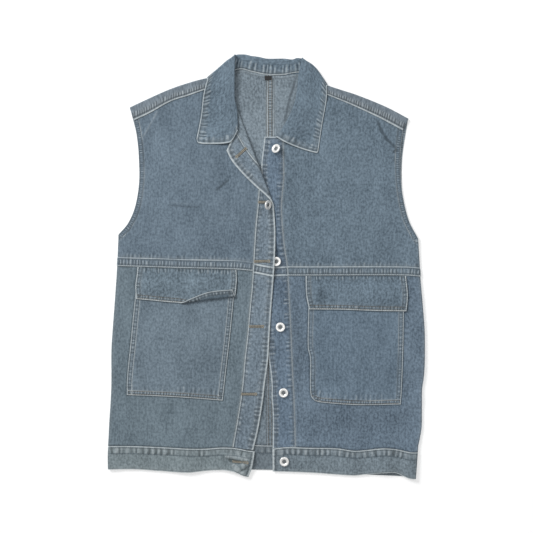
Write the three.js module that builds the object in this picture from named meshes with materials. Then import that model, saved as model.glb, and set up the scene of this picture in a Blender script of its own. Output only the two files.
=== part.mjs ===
// A sleeveless denim jacket laid flat, face up, on a table. Its front band is buttoned only at the
// second button, the collar is open and the right front's top corner is rolled back as a lapel.
// Sizes are millimetres. +X points to the wearer's left, +Y from the hem to the collar, +Z up.
// The origin is on the table under the middle of the garment. "Right" and "left" are the wearer's.
// Every piece of cloth is a closed wall: a middle surface, moved out by half the cloth's thickness
// to each side along its own normal.
import * as THREE from "three";

// Cloth and seams
const DENIM = 1.2; // one layer of denim, with its nap
const DOUBLED = 2.2; // bands, hems and flaps, two layers sewn together
const SEAM = 0.3; // clearance between two pieces at a seam
const REST = 0.5; // clearance under a piece that lies on another
const LAYER = DENIM + REST; // from one layer to the next
const FELL_LIFT = 0.8; // how far a felled seam stands out of the cloth
const SIDE_Z = 3; // height of the side seams over the table
const SIDE_ROUND = 2.2; // how far in from a side the cloth curves to its seam
const FRONT_Z = 2; // lowest underside of a front, over the back it lies on

// Small functions of one number
const clamp = (t) => Math.min(1, Math.max(0, t));
const mix = (a, b, t) => a + (b - a) * t;
const smooth = (from, to, t) => {
  const s = clamp((t - from) / (to - from));
  return s * s * (3 - 2 * s);
};

// A smooth function through the rows of a table, sorted by the column `key`.
function through(rows, key, value) {
  const t = rows.map((row) => row[key]);
  const f = rows.map((row) => row[value]);
  const last = t.length - 1;
  const slope = (i) => {
    const a = Math.max(0, i - 1);
    const b = Math.min(last, i + 1);
    return (f[b] - f[a]) / (t[b] - t[a]);
  };
  return (at) => {
    let i = 0;
    while (i < last - 1 && at > t[i + 1]) i++;
    const h = t[i + 1] - t[i];
    const s = (at - t[i]) / h;
    if (s <= 0) return f[i] + slope(i) * s * h;
    if (s >= 1) return f[i + 1] + slope(i + 1) * (s - 1) * h;
    return (
      f[i] * (1 + 2 * s) * (1 - s) ** 2 +
      slope(i) * h * s * (1 - s) ** 2 +
      f[i + 1] * s * s * (3 - 2 * s) +
      slope(i + 1) * h * s * s * (s - 1)
    );
  };
}

// A smooth line in the plane through points, by its share of length from 0 to 1.
function path(points) {
  let run = 0;
  const rows = points.map((p, i) => {
    if (i) run += Math.hypot(p.x - points[i - 1].x, p.y - points[i - 1].y);
    return { run, x: p.x, y: p.y };
  });
  const x = through(rows, "run", "x");
  const y = through(rows, "run", "y");
  return (t) => ({ x: x(t * run), y: y(t * run) });
}

// Two lines end to end, the first up to `share`.
const joined = (first, second, share) => (t) =>
  t <= share ? first(t / share) : second((t - share) / (1 - share));

// A line along the function y = f(x), and one along x = f(y).
const alongX = (f, x0, x1, dy = 0) => (t) => {
  const x = mix(x0, x1, t);
  return { x, y: f(x) + dy };
};
const alongY = (f, y0, y1, dx = 0) => (t) => {
  const y = mix(y0, y1, t);
  return { x: f(y) + dx, y };
};

// The point at (u, v) of a panel with these four edges, each a function from 0 to 1. The ends of
// `bottom` and `top` are the corners, and `left` and `right` give the curve between them.
function panel(bottom, top, left, right) {
  const bow = (edge, axis, v) => edge(v)[axis] - mix(edge(0)[axis], edge(1)[axis], v);
  const at = (axis, u, v) =>
    mix(bottom(u)[axis], top(u)[axis], v) + mix(bow(left, axis, v), bow(right, axis, v), u);
  return (u, v) => ({ x: at("x", u, v), y: at("y", u, v) });
}

// Even steps from a to b.
const steps = (a, b, count) => Array.from({ length: count + 1 }, (_, i) => mix(a, b, i / count));

// A closed wall of cloth. `place(u, v)` is its middle surface, `lift(u, v)` raises its outer points,
// and `kept(u, v)` says whether the cell whose middle is (u, v) belongs to the piece.
const NUDGE = 1e-6;
function cloth(name, colour, { us, vs, place, thickness = DENIM, lift, kept }) {
  const low = [];
  const high = [];
  const point = (u, v) => {
    const p = place(u, v);
    return new THREE.Vector3(p.x, p.y, p.z);
  };
  for (const v of vs) {
    for (const u of us) {
      const across = point(u + NUDGE, v).sub(point(u - NUDGE, v));
      const along = point(u, v + NUDGE).sub(point(u, v - NUDGE));
      const normal = across.cross(along).normalize();
      const middle = point(u, v);
      low.push(middle.clone().addScaledVector(normal, -thickness / 2));
      high.push(middle.addScaledVector(normal, thickness / 2 + (lift ? lift(u, v) : 0)));
    }
  }
  const wide = us.length;
  const count = low.length;
  const faces = [];
  const rim = new Map();
  const quad = (a, b, c, d) => faces.push(a, b, c, a, c, d);
  for (let j = 0; j + 1 < vs.length; j++) {
    for (let i = 0; i + 1 < wide; i++) {
      if (kept && !kept((us[i] + us[i + 1]) / 2, (vs[j] + vs[j + 1]) / 2)) continue;
      const ring = [j * wide + i, j * wide + i + 1, (j + 1) * wide + i + 1, (j + 1) * wide + i];
      quad(...ring.map((k) => k + count));
      quad(ring[0], ring[3], ring[2], ring[1]);
      ring.forEach((a, k) => {
        const b = ring[(k + 1) % 4];
        if (!rim.delete(`${b} ${a}`)) rim.set(`${a} ${b}`, [a, b]);
      });
    }
  }
  for (const [a, b] of rim.values()) quad(a, b, b + count, a + count);
  const geometry = new THREE.BufferGeometry().setFromPoints([...low, ...high]);
  geometry.setIndex(faces);
  geometry.computeVertexNormals();
  const material = new THREE.MeshStandardMaterial({ color: colour, roughness: 0.9, metalness: 0 });
  const mesh = new THREE.Mesh(geometry, material);
  mesh.name = name;
  return mesh;
}

const group = new THREE.Group();
const DENIM_BLUE = "#66798a";
const BAND_BLUE = "#6f8191";
const INSIDE_BLUE = "#7a8590";

// Outline of the garment, each row a place on an edge
const RIGHT_SIDE = [
  { y: -366, x: -285.5 },
  { y: -340, x: -285.7 },
  { y: -313, x: -284.4 },
  { y: -277, x: -282.6 },
  { y: -250, x: -280.8 },
  { y: -214, x: -279.2 },
  { y: -151, x: -279 },
  { y: -120, x: -277.2 },
  { y: -72, x: -273.6 },
  { y: -7, x: -269.1 },
  { y: 29, x: -267.3 },
  { y: 57, x: -266.4 },
];
const LEFT_SIDE = [
  { y: -382, x: 270.5 },
  { y: -342, x: 273.6 },
  { y: -324, x: 274.7 },
  { y: -308, x: 278.1 },
  { y: -288, x: 281 },
  { y: -250, x: 281.3 },
  { y: -223, x: 281.5 },
  { y: -203, x: 284.4 },
  { y: -180, x: 286.2 },
  { y: -151, x: 286.7 },
  { y: -115, x: 286.2 },
  { y: -79, x: 283.5 },
  { y: -25, x: 279 },
  { y: 7, x: 277.2 },
  { y: 49, x: 274.7 },
];
const RIGHT_ARMHOLE = [
  { x: -265.8, y: 57 },
  { x: -248.4, y: 78 },
  { x: -235.8, y: 108 },
  { x: -228.9, y: 150 },
  { x: -229, y: 190 },
  { x: -232.2, y: 230 },
  { x: -239, y: 266 },
];
const LEFT_ARMHOLE = [
  { x: 274.1, y: 49 },
  { x: 257.4, y: 82 },
  { x: 246.4, y: 128 },
  { x: 242.4, y: 170 },
  { x: 242.4, y: 206 },
  { x: 247, y: 248 },
];
const RIGHT_BACK_ARMHOLE = [...RIGHT_ARMHOLE.slice(0, -1), { x: -244, y: 281 }];
const LEFT_BACK_ARMHOLE = [
  ...LEFT_ARMHOLE.slice(0, 3),
  { x: 243.6, y: 170 },
  { x: 246, y: 206 },
  { x: 253, y: 261 },
];
const RIGHT_SHOULDER = [
  { x: -244, y: 281 },
  { x: -223, y: 292.4 },
  { x: -175, y: 313.8 },
  { x: -142, y: 324.6 },
  { x: -106, y: 332 },
  { x: -63, y: 346 },
];
const LEFT_SHOULDER = [
  { x: 253, y: 261 },
  { x: 214, y: 281.4 },
  { x: 162, y: 303 },
  { x: 111, y: 319.5 },
  { x: 68, y: 342 },
];
const RIGHT_BACK_NECK = [
  { x: -62, y: 346 },
  { x: -57, y: 350.4 },
  { x: -43, y: 353.8 },
  { x: -27, y: 349.4 },
  { x: 1.8, y: 343.6 },
];
const LEFT_BACK_NECK = [
  { x: 2.2, y: 343.6 },
  { x: 33, y: 342.9 },
  { x: 46, y: 345 },
  { x: 60, y: 345.4 },
  { x: 67, y: 341 },
];

// Seams
const RIGHT_SHOULDER_SEAM = [
  { x: -238, y: 262 },
  { x: -207, y: 276.3 },
  { x: -170, y: 297 },
  { x: -138, y: 307.3 },
  { x: -109, y: 317.5 },
  { x: -62, y: 334 },
];
const LEFT_SHOULDER_SEAM = [
  { x: 66, y: 328 },
  { x: 115, y: 306 },
  { x: 149, y: 292.3 },
  { x: 184, y: 276.3 },
  { x: 214, y: 261.4 },
  { x: 246, y: 244.5 },
];
const RIGHT_WAIST = [
  { x: -290, y: 0.7 },
  { x: -155, y: -3.6 },
  { x: -54, y: -6.3 },
  { x: -24, y: -9 },
  { x: 20, y: -15.5 },
];
const LEFT_WAIST = [
  { x: -20, y: -15.5 },
  { x: 43, y: -17.1 },
  { x: 252, y: -17.1 },
  { x: 290, y: -20.5 },
];
const RIGHT_BAND = [
  { y: -334, inner: -61.5, edge: -23.5 },
  { y: -297, inner: -54.9, edge: -14.5 },
  { y: -243, inner: -46, edge: -5.5 },
  { y: -211, inner: -42, edge: -1.8 },
  { y: -168, inner: -38.2, edge: 4.1 },
  { y: -122, inner: -33.1, edge: 6.7 },
  { y: -80, inner: -29.4, edge: 9.4 },
  { y: -34, inner: -24.9, edge: 13 },
  { y: 5, inner: -22.6, edge: 15.6 },
  { y: 35, inner: -20.9, edge: 16.8 },
  { y: 70, inner: -18.6, edge: 16.8 },
  { y: 107, inner: -14.9, edge: 14.2 },
  { y: 128, inner: -13.4, edge: 13.6 },
  { y: 160, inner: -11, edge: 18.4 },
  { y: 190, inner: -11, edge: 21.2 },
  { y: 220, inner: -13.6, edge: 20.6 },
  { y: 241, inner: -18, edge: 15 },
  { y: 256, inner: -21, edge: 12 },
];
const LEFT_BAND = [
  { y: -331, inner: 53, edge: 11.7 },
  { y: -285, inner: 51.7, edge: 12.2 },
  { y: -259, inner: 51, edge: 11.5 },
  { y: -234, inner: 50, edge: 9.8 },
  { y: -217, inner: 49, edge: 10 },
  { y: -192, inner: 47.7, edge: 8.1 },
  { y: -172, inner: 46.8, edge: 5.4 },
  { y: -120, inner: 44.8, edge: 2 },
  { y: -60, inner: 41.8, edge: 0 },
  { y: 0, inner: 38.2, edge: -2.5 },
  { y: 36, inner: 33, edge: -4 },
  { y: 67, inner: 29.9, edge: -5 },
  { y: 108, inner: 27.7, edge: -6 },
  { y: 160, inner: 31.9, edge: -7.6 },
  { y: 181, inner: 31.6, edge: -8.6 },
  { y: 219, inner: 30.8, edge: -4.3 },
  { y: 233, inner: 31, edge: -2.9 },
];
const RIGHT_HEM = [
  { x: -290, top: -324, bottom: -366.3 },
  { x: -234, top: -324.6, bottom: -366.3 },
  { x: -193, top: -326.2, bottom: -369 },
  { x: -141, top: -328.6, bottom: -371.9 },
  { x: -110, top: -329, bottom: -369 },
  { x: -79, top: -327, bottom: -367.7 },
  { x: -58, top: -327.8, bottom: -370 },
  { x: -46, top: -329.4, bottom: -375.4 },
  { x: -34, top: -332, bottom: -379.4 },
  { x: -14, top: -334, bottom: -381 },
];
const LEFT_HEM = [
  { x: 5, top: -330, bottom: -369.8 },
  { x: 37, top: -326.3, bottom: -370.6 },
  { x: 80, top: -327.4, bottom: -372.2 },
  { x: 128, top: -328.5, bottom: -375.6 },
  { x: 159, top: -332.8, bottom: -377.4 },
  { x: 180, top: -331.5, bottom: -375.3 },
  { x: 211, top: -327.8, bottom: -372.5 },
  { x: 233, top: -329.6, bottom: -372.4 },
  { x: 251, top: -333.5, bottom: -380 },
  { x: 261, top: -335.3, bottom: -383 },
  { x: 290, top: -335, bottom: -383.5 },
];
const BACK_HEM = [
  { x: -290, top: -323, bottom: -365 },
  { x: -100, top: -323, bottom: -367 },
  { x: 0, top: -324, bottom: -367.6 },
  { x: 100, top: -326, bottom: -371 },
  { x: 196, top: -330, bottom: -376.8 },
  { x: 245, top: -333, bottom: -379 },
  { x: 290, top: -335, bottom: -382 },
];
const CENTRE_BACK_X = 2;
const UNDERARM = { right: 57, left: 49 };

const rightSide = through(RIGHT_SIDE, "y", "x");
const leftSide = through(LEFT_SIDE, "y", "x");
const rightWaist = through(RIGHT_WAIST, "x", "y");
const leftWaist = through(LEFT_WAIST, "x", "y");
const rightInner = through(RIGHT_BAND, "y", "inner");
const rightEdge = through(RIGHT_BAND, "y", "edge");
const leftInner = through(LEFT_BAND, "y", "inner");
const leftEdge = through(LEFT_BAND, "y", "edge");
const rightHemTop = through(RIGHT_HEM, "x", "top");
const rightHemBottom = through(RIGHT_HEM, "x", "bottom");
const leftHemTop = through(LEFT_HEM, "x", "top");
const leftHemBottom = through(LEFT_HEM, "x", "bottom");
const backHemTop = through(BACK_HEM, "x", "top");
const backHemBottom = through(BACK_HEM, "x", "bottom");
const rightShoulderSeam = through(RIGHT_SHOULDER_SEAM, "x", "y");
const leftShoulderSeam = through(LEFT_SHOULDER_SEAM, "x", "y");

// The drape: soft ridges that stand the fronts off the back, each along a line
const FOLDS = [
  { x0: -189, y0: 290, x1: -225, y1: 230, width: 14, height: 2.2 },
  { x0: -209, y0: 100, x1: -92, y1: 106, width: 18, height: 1.4 },
  { x0: -160, y0: 200, x1: -120, y1: 40, width: 45, height: 2 },
  { x0: -110, y0: 210, x1: -80, y1: 110, width: 24, height: 1.6 },
  { x0: -238, y0: -100, x1: -246, y1: -290, width: 20, height: 1.8 },
  { x0: -150, y0: -90, x1: -150, y1: -230, width: 50, height: 1.8 },
  { x0: -141, y0: -300, x1: -141, y1: -380, width: 24, height: 3 },
  { x0: -66, y0: -378, x1: -30, y1: -352, width: 13, height: 5 },
  { x0: 212, y0: 268, x1: 222, y1: 236, width: 11, height: 2 },
  { x0: 222, y0: 236, x1: 243, y1: 222, width: 11, height: 2 },
  { x0: 110, y0: 200, x1: 160, y1: 40, width: 50, height: 2.2 },
  { x0: 266, y0: -60, x1: 270, y1: -185, width: 24, height: 2.6 },
  { x0: 279, y0: -236, x1: 232, y1: -268, width: 14, height: 2.4 },
  { x0: 165, y0: -110, x1: 165, y1: -225, width: 50, height: 2.2 },
  { x0: 90, y0: -262, x1: 66, y1: -320, width: 18, height: 1.6 },
  { x0: 214, y0: -318, x1: 217, y1: -380, width: 21, height: 5 },
  { x0: 258, y0: -345, x1: 264, y1: -384, width: 13, height: 2.6 },
];
function drape(x, y) {
  return FOLDS.reduce((sum, { x0, y0, x1, y1, width, height }) => {
    const reach = (x1 - x0) ** 2 + (y1 - y0) ** 2;
    const along = clamp(((x - x0) * (x1 - x0) + (y - y0) * (y1 - y0)) / reach);
    const away = Math.hypot(x - mix(x0, x1, along), y - mix(y0, y1, along));
    return sum + height * Math.exp(-((away / width) ** 2));
  }, 0);
}

// Heights. The back collar lies under the back and raises all that is over it, and so do the hems.
const collarRise = (x, y) => LAYER * smooth(280, 300, y) * (1 - smooth(124, 146, Math.abs(x)));
const hemRise = (y) => (DOUBLED - DENIM) * (1 - smooth(-322, -306, y));
const SIDE_SPRING = { height: 2.4, width: 22 }; // the fronts stand higher beside the side seams
function frontFloor(x, y) {
  const inFrom = Math.min(x - rightSide(y), leftSide(y) - x);
  const near = Math.exp(-((inFrom / SIDE_SPRING.width) ** 2));
  const spring = SIDE_SPRING.height * near * (1 - smooth(40, 130, y));
  return FRONT_Z + drape(x, y) + spring + collarRise(x, y + 12) + hemRise(y);
}

// Near its side a panel curves from its level to the side seam's height, up to where the seam ends.
// `side` is the panel's edge there, as its share across.
const SIDE_OPENS = 26;
const FRONT_SEAM_Z = SIDE_Z + SEAM / 2;
const BACK_SEAM_Z = SIDE_Z - SEAM / 2;
const bend = (away) => 1 - Math.sqrt(Math.max(0, 1 - (1 - clamp(away / SIDE_ROUND)) ** 2));
function sided(flat, side, level, seam) {
  return (u, v) => {
    const edge = flat(side, v);
    const inward = edge.x < 0 ? 1 : -1;
    const top = inward > 0 ? UNDERARM.right : UNDERARM.left;
    const closed = 1 - smooth(top - SIDE_OPENS, top, edge.y);
    return (x, y) => mix(level(x, y), seam, bend((x - edge.x) * inward) * closed);
  };
}
const onLevel = (flat, level) => (u, v) => {
  const p = flat(u, v);
  return { ...p, z: level(p.x, p.y) };
};
const onSided = (flat, side, level, seam) => {
  const levelAt = sided(flat, side, level, seam);
  return (u, v) => {
    const p = flat(u, v);
    return { ...p, z: levelAt(u, v)(p.x, p.y) };
  };
};

// The right front laps over the left band and rises over the third button.
const LAP = { rise: DOUBLED + REST, button: 5 };
const THIRD_BUTTON = { x: 18.5, y: 8.1 };
function rightFloor(x, y) {
  const over = smooth(-80, -38, x) * (1 - smooth(165, 225, y)) * mix(0.3, 1, smooth(-300, -185, y));
  const hill = 1 - smooth(10, 36, Math.hypot(x - THIRD_BUTTON.x + 4, (y - THIRD_BUTTON.y) * 0.8));
  return frontFloor(x, y) + LAP.rise * over + LAP.button * hill;
}
const rightLevel = (thickness) => (x, y) => rightFloor(x, y) + thickness / 2;
const leftLevel = (thickness) => (x, y) => frontFloor(x, y) + thickness / 2;

// Cloth rolled over a line: what lies beyond the line turns up and back with the roll's radius and
// settles down on the cloth at the near side.
function roll({ x0, y0, x1, y1, side, radius, settle, lie }) {
  const length = Math.hypot(x1 - x0, y1 - y0);
  const tx = (x1 - x0) / length;
  const ty = (y1 - y0) / length;
  const nx = -ty * side;
  const ny = tx * side;
  const split = (p) => {
    const along = (p.x - x0) * tx + (p.y - y0) * ty;
    const r = radius(clamp(along / length));
    return { along, r, past: (p.x - x0) * nx + (p.y - y0) * ny + r };
  };
  const fold = (p, level) => {
    const { along, r, past } = split(p);
    if (past <= 0) return { x: p.x, y: p.y, z: level(p.x, p.y) };
    const angle = Math.min(past / r, Math.PI);
    const back = Math.max(0, past - Math.PI * r);
    const offset = -r + r * Math.sin(angle) - back;
    const x = x0 + tx * along + nx * offset;
    const y = y0 + ty * along + ny * offset;
    const start = level(x0 + tx * along - nx * r, y0 + ty * along - ny * r);
    const height = r * (1 - Math.cos(angle));
    const settled = smooth(0, settle, back);
    const lying = mix(height, Math.min(height, lie), settled);
    return { x, y, z: mix(start, level(x, y), settled) + lying };
  };
  return { split, fold };
}
const lapel = roll({
  x0: -55.8,
  y0: 293.4,
  x1: 14.4,
  y1: 106.2,
  side: 1,
  radius: (t) => 1.4 + 1.9 * Math.sin(Math.PI * Math.max(0, t - 0.04)) ** 2,
  settle: 14,
  lie: 2.8,
});

// Columns close together where a panel curves down to its side seam
const SIDE_COLUMNS = [0, 0.0013, 0.0036, 0.009, 0.03, 0.07, 0.12];
const mirrored = (columns) => columns.map((t) => 1 - t).reverse();

// Upper right front. Its rows are those of the band beside it, so the two roll back together.
const SIDE_SHARE = 0.2; // share of an upper panel's height up to the underarm
const NECK_SHARE = 0.7; // share of an upper front's inner edge up to the neckline
const RIGHT_NECK = [
  { x: -21.2, y: 256 },
  { x: -38, y: 281 },
  { x: -55, y: 301 },
  { x: -67, y: 319 },
  { x: -77, y: 336 },
];
const RIGHT_TOP = RIGHT_SHOULDER_SEAM.map(({ x, y }) => ({ x: x - 2, y: y + 7 }));
const BAND_ROWS = [-9, 4.5, 6, 36, 70, 105, 130, 150, 163, 172, 180, 188, 196, 206, 220, 238, 256];
const bandRow = (y) => ((y + 9) / 265) * NECK_SHARE;
{
  const flat = panel(
    alongX(rightWaist, rightSide(0) + DENIM / 2, rightInner(-9) - SEAM / 2),
    path([{ x: -239, y: 266 }, ...RIGHT_TOP.slice(1, -1), { x: -77, y: 336 }]),
    joined(alongY(rightSide, 0.7, 57, DENIM / 2), path(RIGHT_ARMHOLE), SIDE_SHARE),
    joined(alongY(rightInner, -9, 256, -SEAM / 2), path(RIGHT_NECK), NECK_SHARE),
  );
  const levelAt = sided(flat, 0, rightLevel(DENIM), FRONT_SEAM_Z);
  // the place along row v where the roll has `past` millimetres behind its start
  const at = (v, past) => {
    let a = 0;
    let b = 1;
    for (let k = 0; k < 44; k++) {
      const middle = (a + b) / 2;
      if (lapel.split(flat(middle, v)).past < past) a = middle;
      else b = middle;
    }
    return a;
  };
  const column = (u, v) => {
    const start = Math.min(at(v, 0), 0.92);
    const end = Math.min(at(v, 9), mix(start, 1, 0.6));
    if (u <= 0.72) return mix(0, start, u / 0.72);
    return u <= 0.88 ? mix(start, end, (u - 0.72) / 0.16) : mix(end, 1, (u - 0.88) / 0.12);
  };
  group.add(
    cloth("right_front_upper", DENIM_BLUE, {
      us: [...SIDE_COLUMNS, ...steps(0.2, 0.72, 5), ...steps(0.752, 0.88, 4), 0.94, 1],
      vs: [...BAND_ROWS.map(bandRow), 0.76, 0.82, 0.88, 0.94, 1],
      place: (u, v) => lapel.fold(flat(column(u, v), v), levelAt(u, v)),
      lift: (u, v) => (v < 0.0375 ? FELL_LIFT : 0),
    }),
  );
}

// Upper left front
const LEFT_NECK = [
  { x: 31.2, y: 233 },
  { x: 38, y: 250 },
  { x: 50, y: 268 },
  { x: 60, y: 290 },
  { x: 67, y: 318 },
  { x: 70, y: 334 },
];
const LEFT_ROWS = [-17, -3.6, -2.2, 22, 54, 80, 108, 132, 156, 181, 207, 233];
const leftRow = (y) => ((y + 17) / 250) * NECK_SHARE;
{
  const flat = panel(
    alongX(leftWaist, leftInner(-17) + SEAM / 2, leftSide(-19) - DENIM / 2),
    path([
      { x: 70, y: 334 },
      ...LEFT_SHOULDER_SEAM.slice(1, -1).map(({ x, y }) => ({ x, y: y + 7 })),
      { x: 247, y: 248 },
    ]),
    joined(alongY(leftInner, -17, 233, SEAM / 2), path(LEFT_NECK), NECK_SHARE),
    joined(alongY(leftSide, -19.5, 49, -DENIM / 2), path(LEFT_ARMHOLE), SIDE_SHARE),
  );
  group.add(
    cloth("left_front_upper", DENIM_BLUE, {
      us: [0, 0.04, 0.1, ...steps(0.18, 0.82, 6), ...mirrored(SIDE_COLUMNS)],
      vs: [...LEFT_ROWS.map(leftRow), 0.76, 0.82, 0.88, 0.94, 1],
      place: onSided(flat, 1, leftLevel(DENIM), FRONT_SEAM_Z),
      lift: (u, v) => (v < 0.04 ? FELL_LIFT : 0),
    }),
  );
}

// Lower fronts, from the waist seam to the hem band. They and the hem bands have columns at the same
// places, so that they meet along one line.
const SIDE_INSETS = [0, 0.3, 0.9, 2.3, 8, 18];
const shares = (places, from, to) => places.map((x) => (x - from) / (to - from));
const RIGHT_COLUMNS = steps(-245, -75, 8);
const LEFT_COLUMNS = steps(70, 238, 8);
const RIGHT_HEM_SIDE = rightSide(-324) + DENIM / 2;
const LEFT_HEM_SIDE = leftSide(-334) - DENIM / 2;
const LOWER_ROWS = [0, 0.03, 0.1, 0.2, 0.31, 0.42, 0.53, 0.64, 0.74, 0.83, 0.9, 0.95, 1];
{
  const flat = panel(
    alongX(rightHemTop, RIGHT_HEM_SIDE, -60.6, SEAM),
    alongX(rightWaist, rightSide(0) + DENIM / 2, rightInner(-9) - SEAM / 2, -SEAM),
    alongY(rightSide, -323.7, 0.4, DENIM / 2),
    alongY(rightInner, -327.4, -9.3, -SEAM / 2),
  );
  group.add(
    cloth("right_front_lower", DENIM_BLUE, {
      us: shares([...SIDE_INSETS.map((d) => RIGHT_HEM_SIDE + d), ...RIGHT_COLUMNS, -60.6],
        RIGHT_HEM_SIDE, -60.6),
      vs: LOWER_ROWS,
      place: onSided(flat, 0, rightLevel(DENIM), FRONT_SEAM_Z),
    }),
  );
}
{
  const flat = panel(
    alongX(leftHemTop, 53.2, LEFT_HEM_SIDE, SEAM),
    alongX(leftWaist, leftInner(-17) + SEAM / 2, leftSide(-19) - DENIM / 2, -SEAM),
    alongY(leftInner, -326.4, -17.4, SEAM / 2),
    alongY(leftSide, -335, -19.8, -DENIM / 2),
  );
  group.add(
    cloth("left_front_lower", DENIM_BLUE, {
      us: shares([53.2, ...LEFT_COLUMNS, ...SIDE_INSETS.map((d) => LEFT_HEM_SIDE - d).reverse()],
        53.2, LEFT_HEM_SIDE),
      vs: LOWER_ROWS,
      place: onSided(flat, 1, leftLevel(DENIM), FRONT_SEAM_Z),
    }),
  );
}

// Front bands. A row of the right band starts at `inner` and ends lower, at `edge`, where it rolls.
const BAND_SLANT = [
  { inner: -326.6, edge: -331.8 },
  { inner: -200, edge: -201 },
  { inner: -9, edge: -12 },
  { inner: 60, edge: 40 },
  { inner: 120, edge: 72 },
  { inner: 172, edge: 104 },
  { inner: 203, edge: 135 },
  { inner: 230, edge: 186 },
  { inner: 256, edge: 240 },
];
{
  const edgeRow = through(BAND_SLANT, "inner", "edge");
  const rows = [...steps(-326.6, -9, 12), ...BAND_ROWS.slice(3)];
  group.add(
    cloth("right_placket", BAND_BLUE, {
      us: steps(0, 1, 5),
      vs: rows.map((y) => y / 256),
      thickness: DOUBLED,
      place: (u, v) => {
        const y0 = v * 256;
        const y1 = edgeRow(y0);
        const flat = { x: mix(rightInner(y0) + SEAM / 2, rightEdge(y1), u), y: mix(y0, y1, u) };
        return lapel.fold(flat, rightLevel(DOUBLED));
      },
    }),
  );
}
{
  const flat = panel(
    alongX(leftHemTop, 12, 53, SEAM),
    alongX(() => 233, -2.9, 31 - SEAM / 2),
    alongY(leftEdge, leftHemTop(12) + SEAM, 233),
    alongY(leftInner, leftHemTop(53) + SEAM, 233, -SEAM / 2),
  );
  const rows = [...steps(-328, -17, 10).slice(0, -1), ...LEFT_ROWS];
  group.add(
    cloth("left_placket", BAND_BLUE, {
      us: steps(0, 1, 4),
      vs: rows.map((y) => (y + 328) / 561),
      thickness: DOUBLED,
      place: onLevel(flat, (x, y) => frontFloor(x, y) + DOUBLED / 2),
    }),
  );
}

// Hem bands, front right, front left and back
const HEM_SIDE_COLUMNS = [0, 0.0014, 0.0038, 0.009, 0.03, 0.07];
{
  const end = path([{ x: -31.5, y: -379 }, { x: -25, y: -362 }, { x: -20, y: -334 }]);
  const flat = panel(
    alongX(rightHemBottom, rightSide(-366) + DOUBLED / 2, -31.5),
    alongX(rightHemTop, rightSide(-324) + DOUBLED / 2, -20, 0),
    alongY(rightSide, -366.3, -324, DOUBLED / 2),
    end,
  );
  group.add(
    cloth("hem_right", BAND_BLUE, {
      us: shares([...SIDE_INSETS.map((d) => -284 + d), ...RIGHT_COLUMNS, -60.6, -48, -40, -32, -25, -20],
        -284, -20),
      vs: steps(0, 1, 3),
      thickness: DOUBLED,
      place: onSided(flat, 0, rightLevel(DOUBLED), FRONT_SEAM_Z),
    }),
  );
}
{
  const flat = panel(
    alongX(leftHemBottom, 12, leftSide(-383) - DOUBLED / 2),
    alongX(leftHemTop, 11.6, leftSide(-335) - DOUBLED / 2),
    path([{ x: 12, y: leftHemBottom(12) }, { x: 11.6, y: leftHemTop(11.6) }]),
    alongY(leftSide, -383, -335.2, -DOUBLED / 2),
  );
  group.add(
    cloth("hem_left", BAND_BLUE, {
      us: shares([11.6, 25, 39, 53.2, ...LEFT_COLUMNS, ...SIDE_INSETS.map((d) => 273 - d).reverse()],
        11.6, 273),
      vs: steps(0, 1, 3),
      thickness: DOUBLED,
      place: onSided(flat, 1, leftLevel(DOUBLED), FRONT_SEAM_Z),
    }),
  );
}
{
  const flat = panel(
    alongX(backHemBottom, rightSide(-366) + DOUBLED / 2, leftSide(-380) - DOUBLED / 2),
    alongX(backHemTop, rightSide(-324) + DOUBLED / 2, leftSide(-334) - DOUBLED / 2),
    alongY(rightSide, -365, -323, DOUBLED / 2),
    alongY(leftSide, -381, -334, -DOUBLED / 2),
  );
  const columns = HEM_SIDE_COLUMNS.map((t) => t / 2);
  group.add(
    cloth("hem_back", BAND_BLUE, {
      us: [...columns, ...steps(0.1, 0.9, 12), ...mirrored(columns)],
      vs: steps(0, 1, 2),
      thickness: DOUBLED,
      place: (u, v) => onSided(flat, u < 0.5 ? 0 : 1, () => DOUBLED / 2, BACK_SEAM_Z)(u, v),
    }),
  );
}

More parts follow.
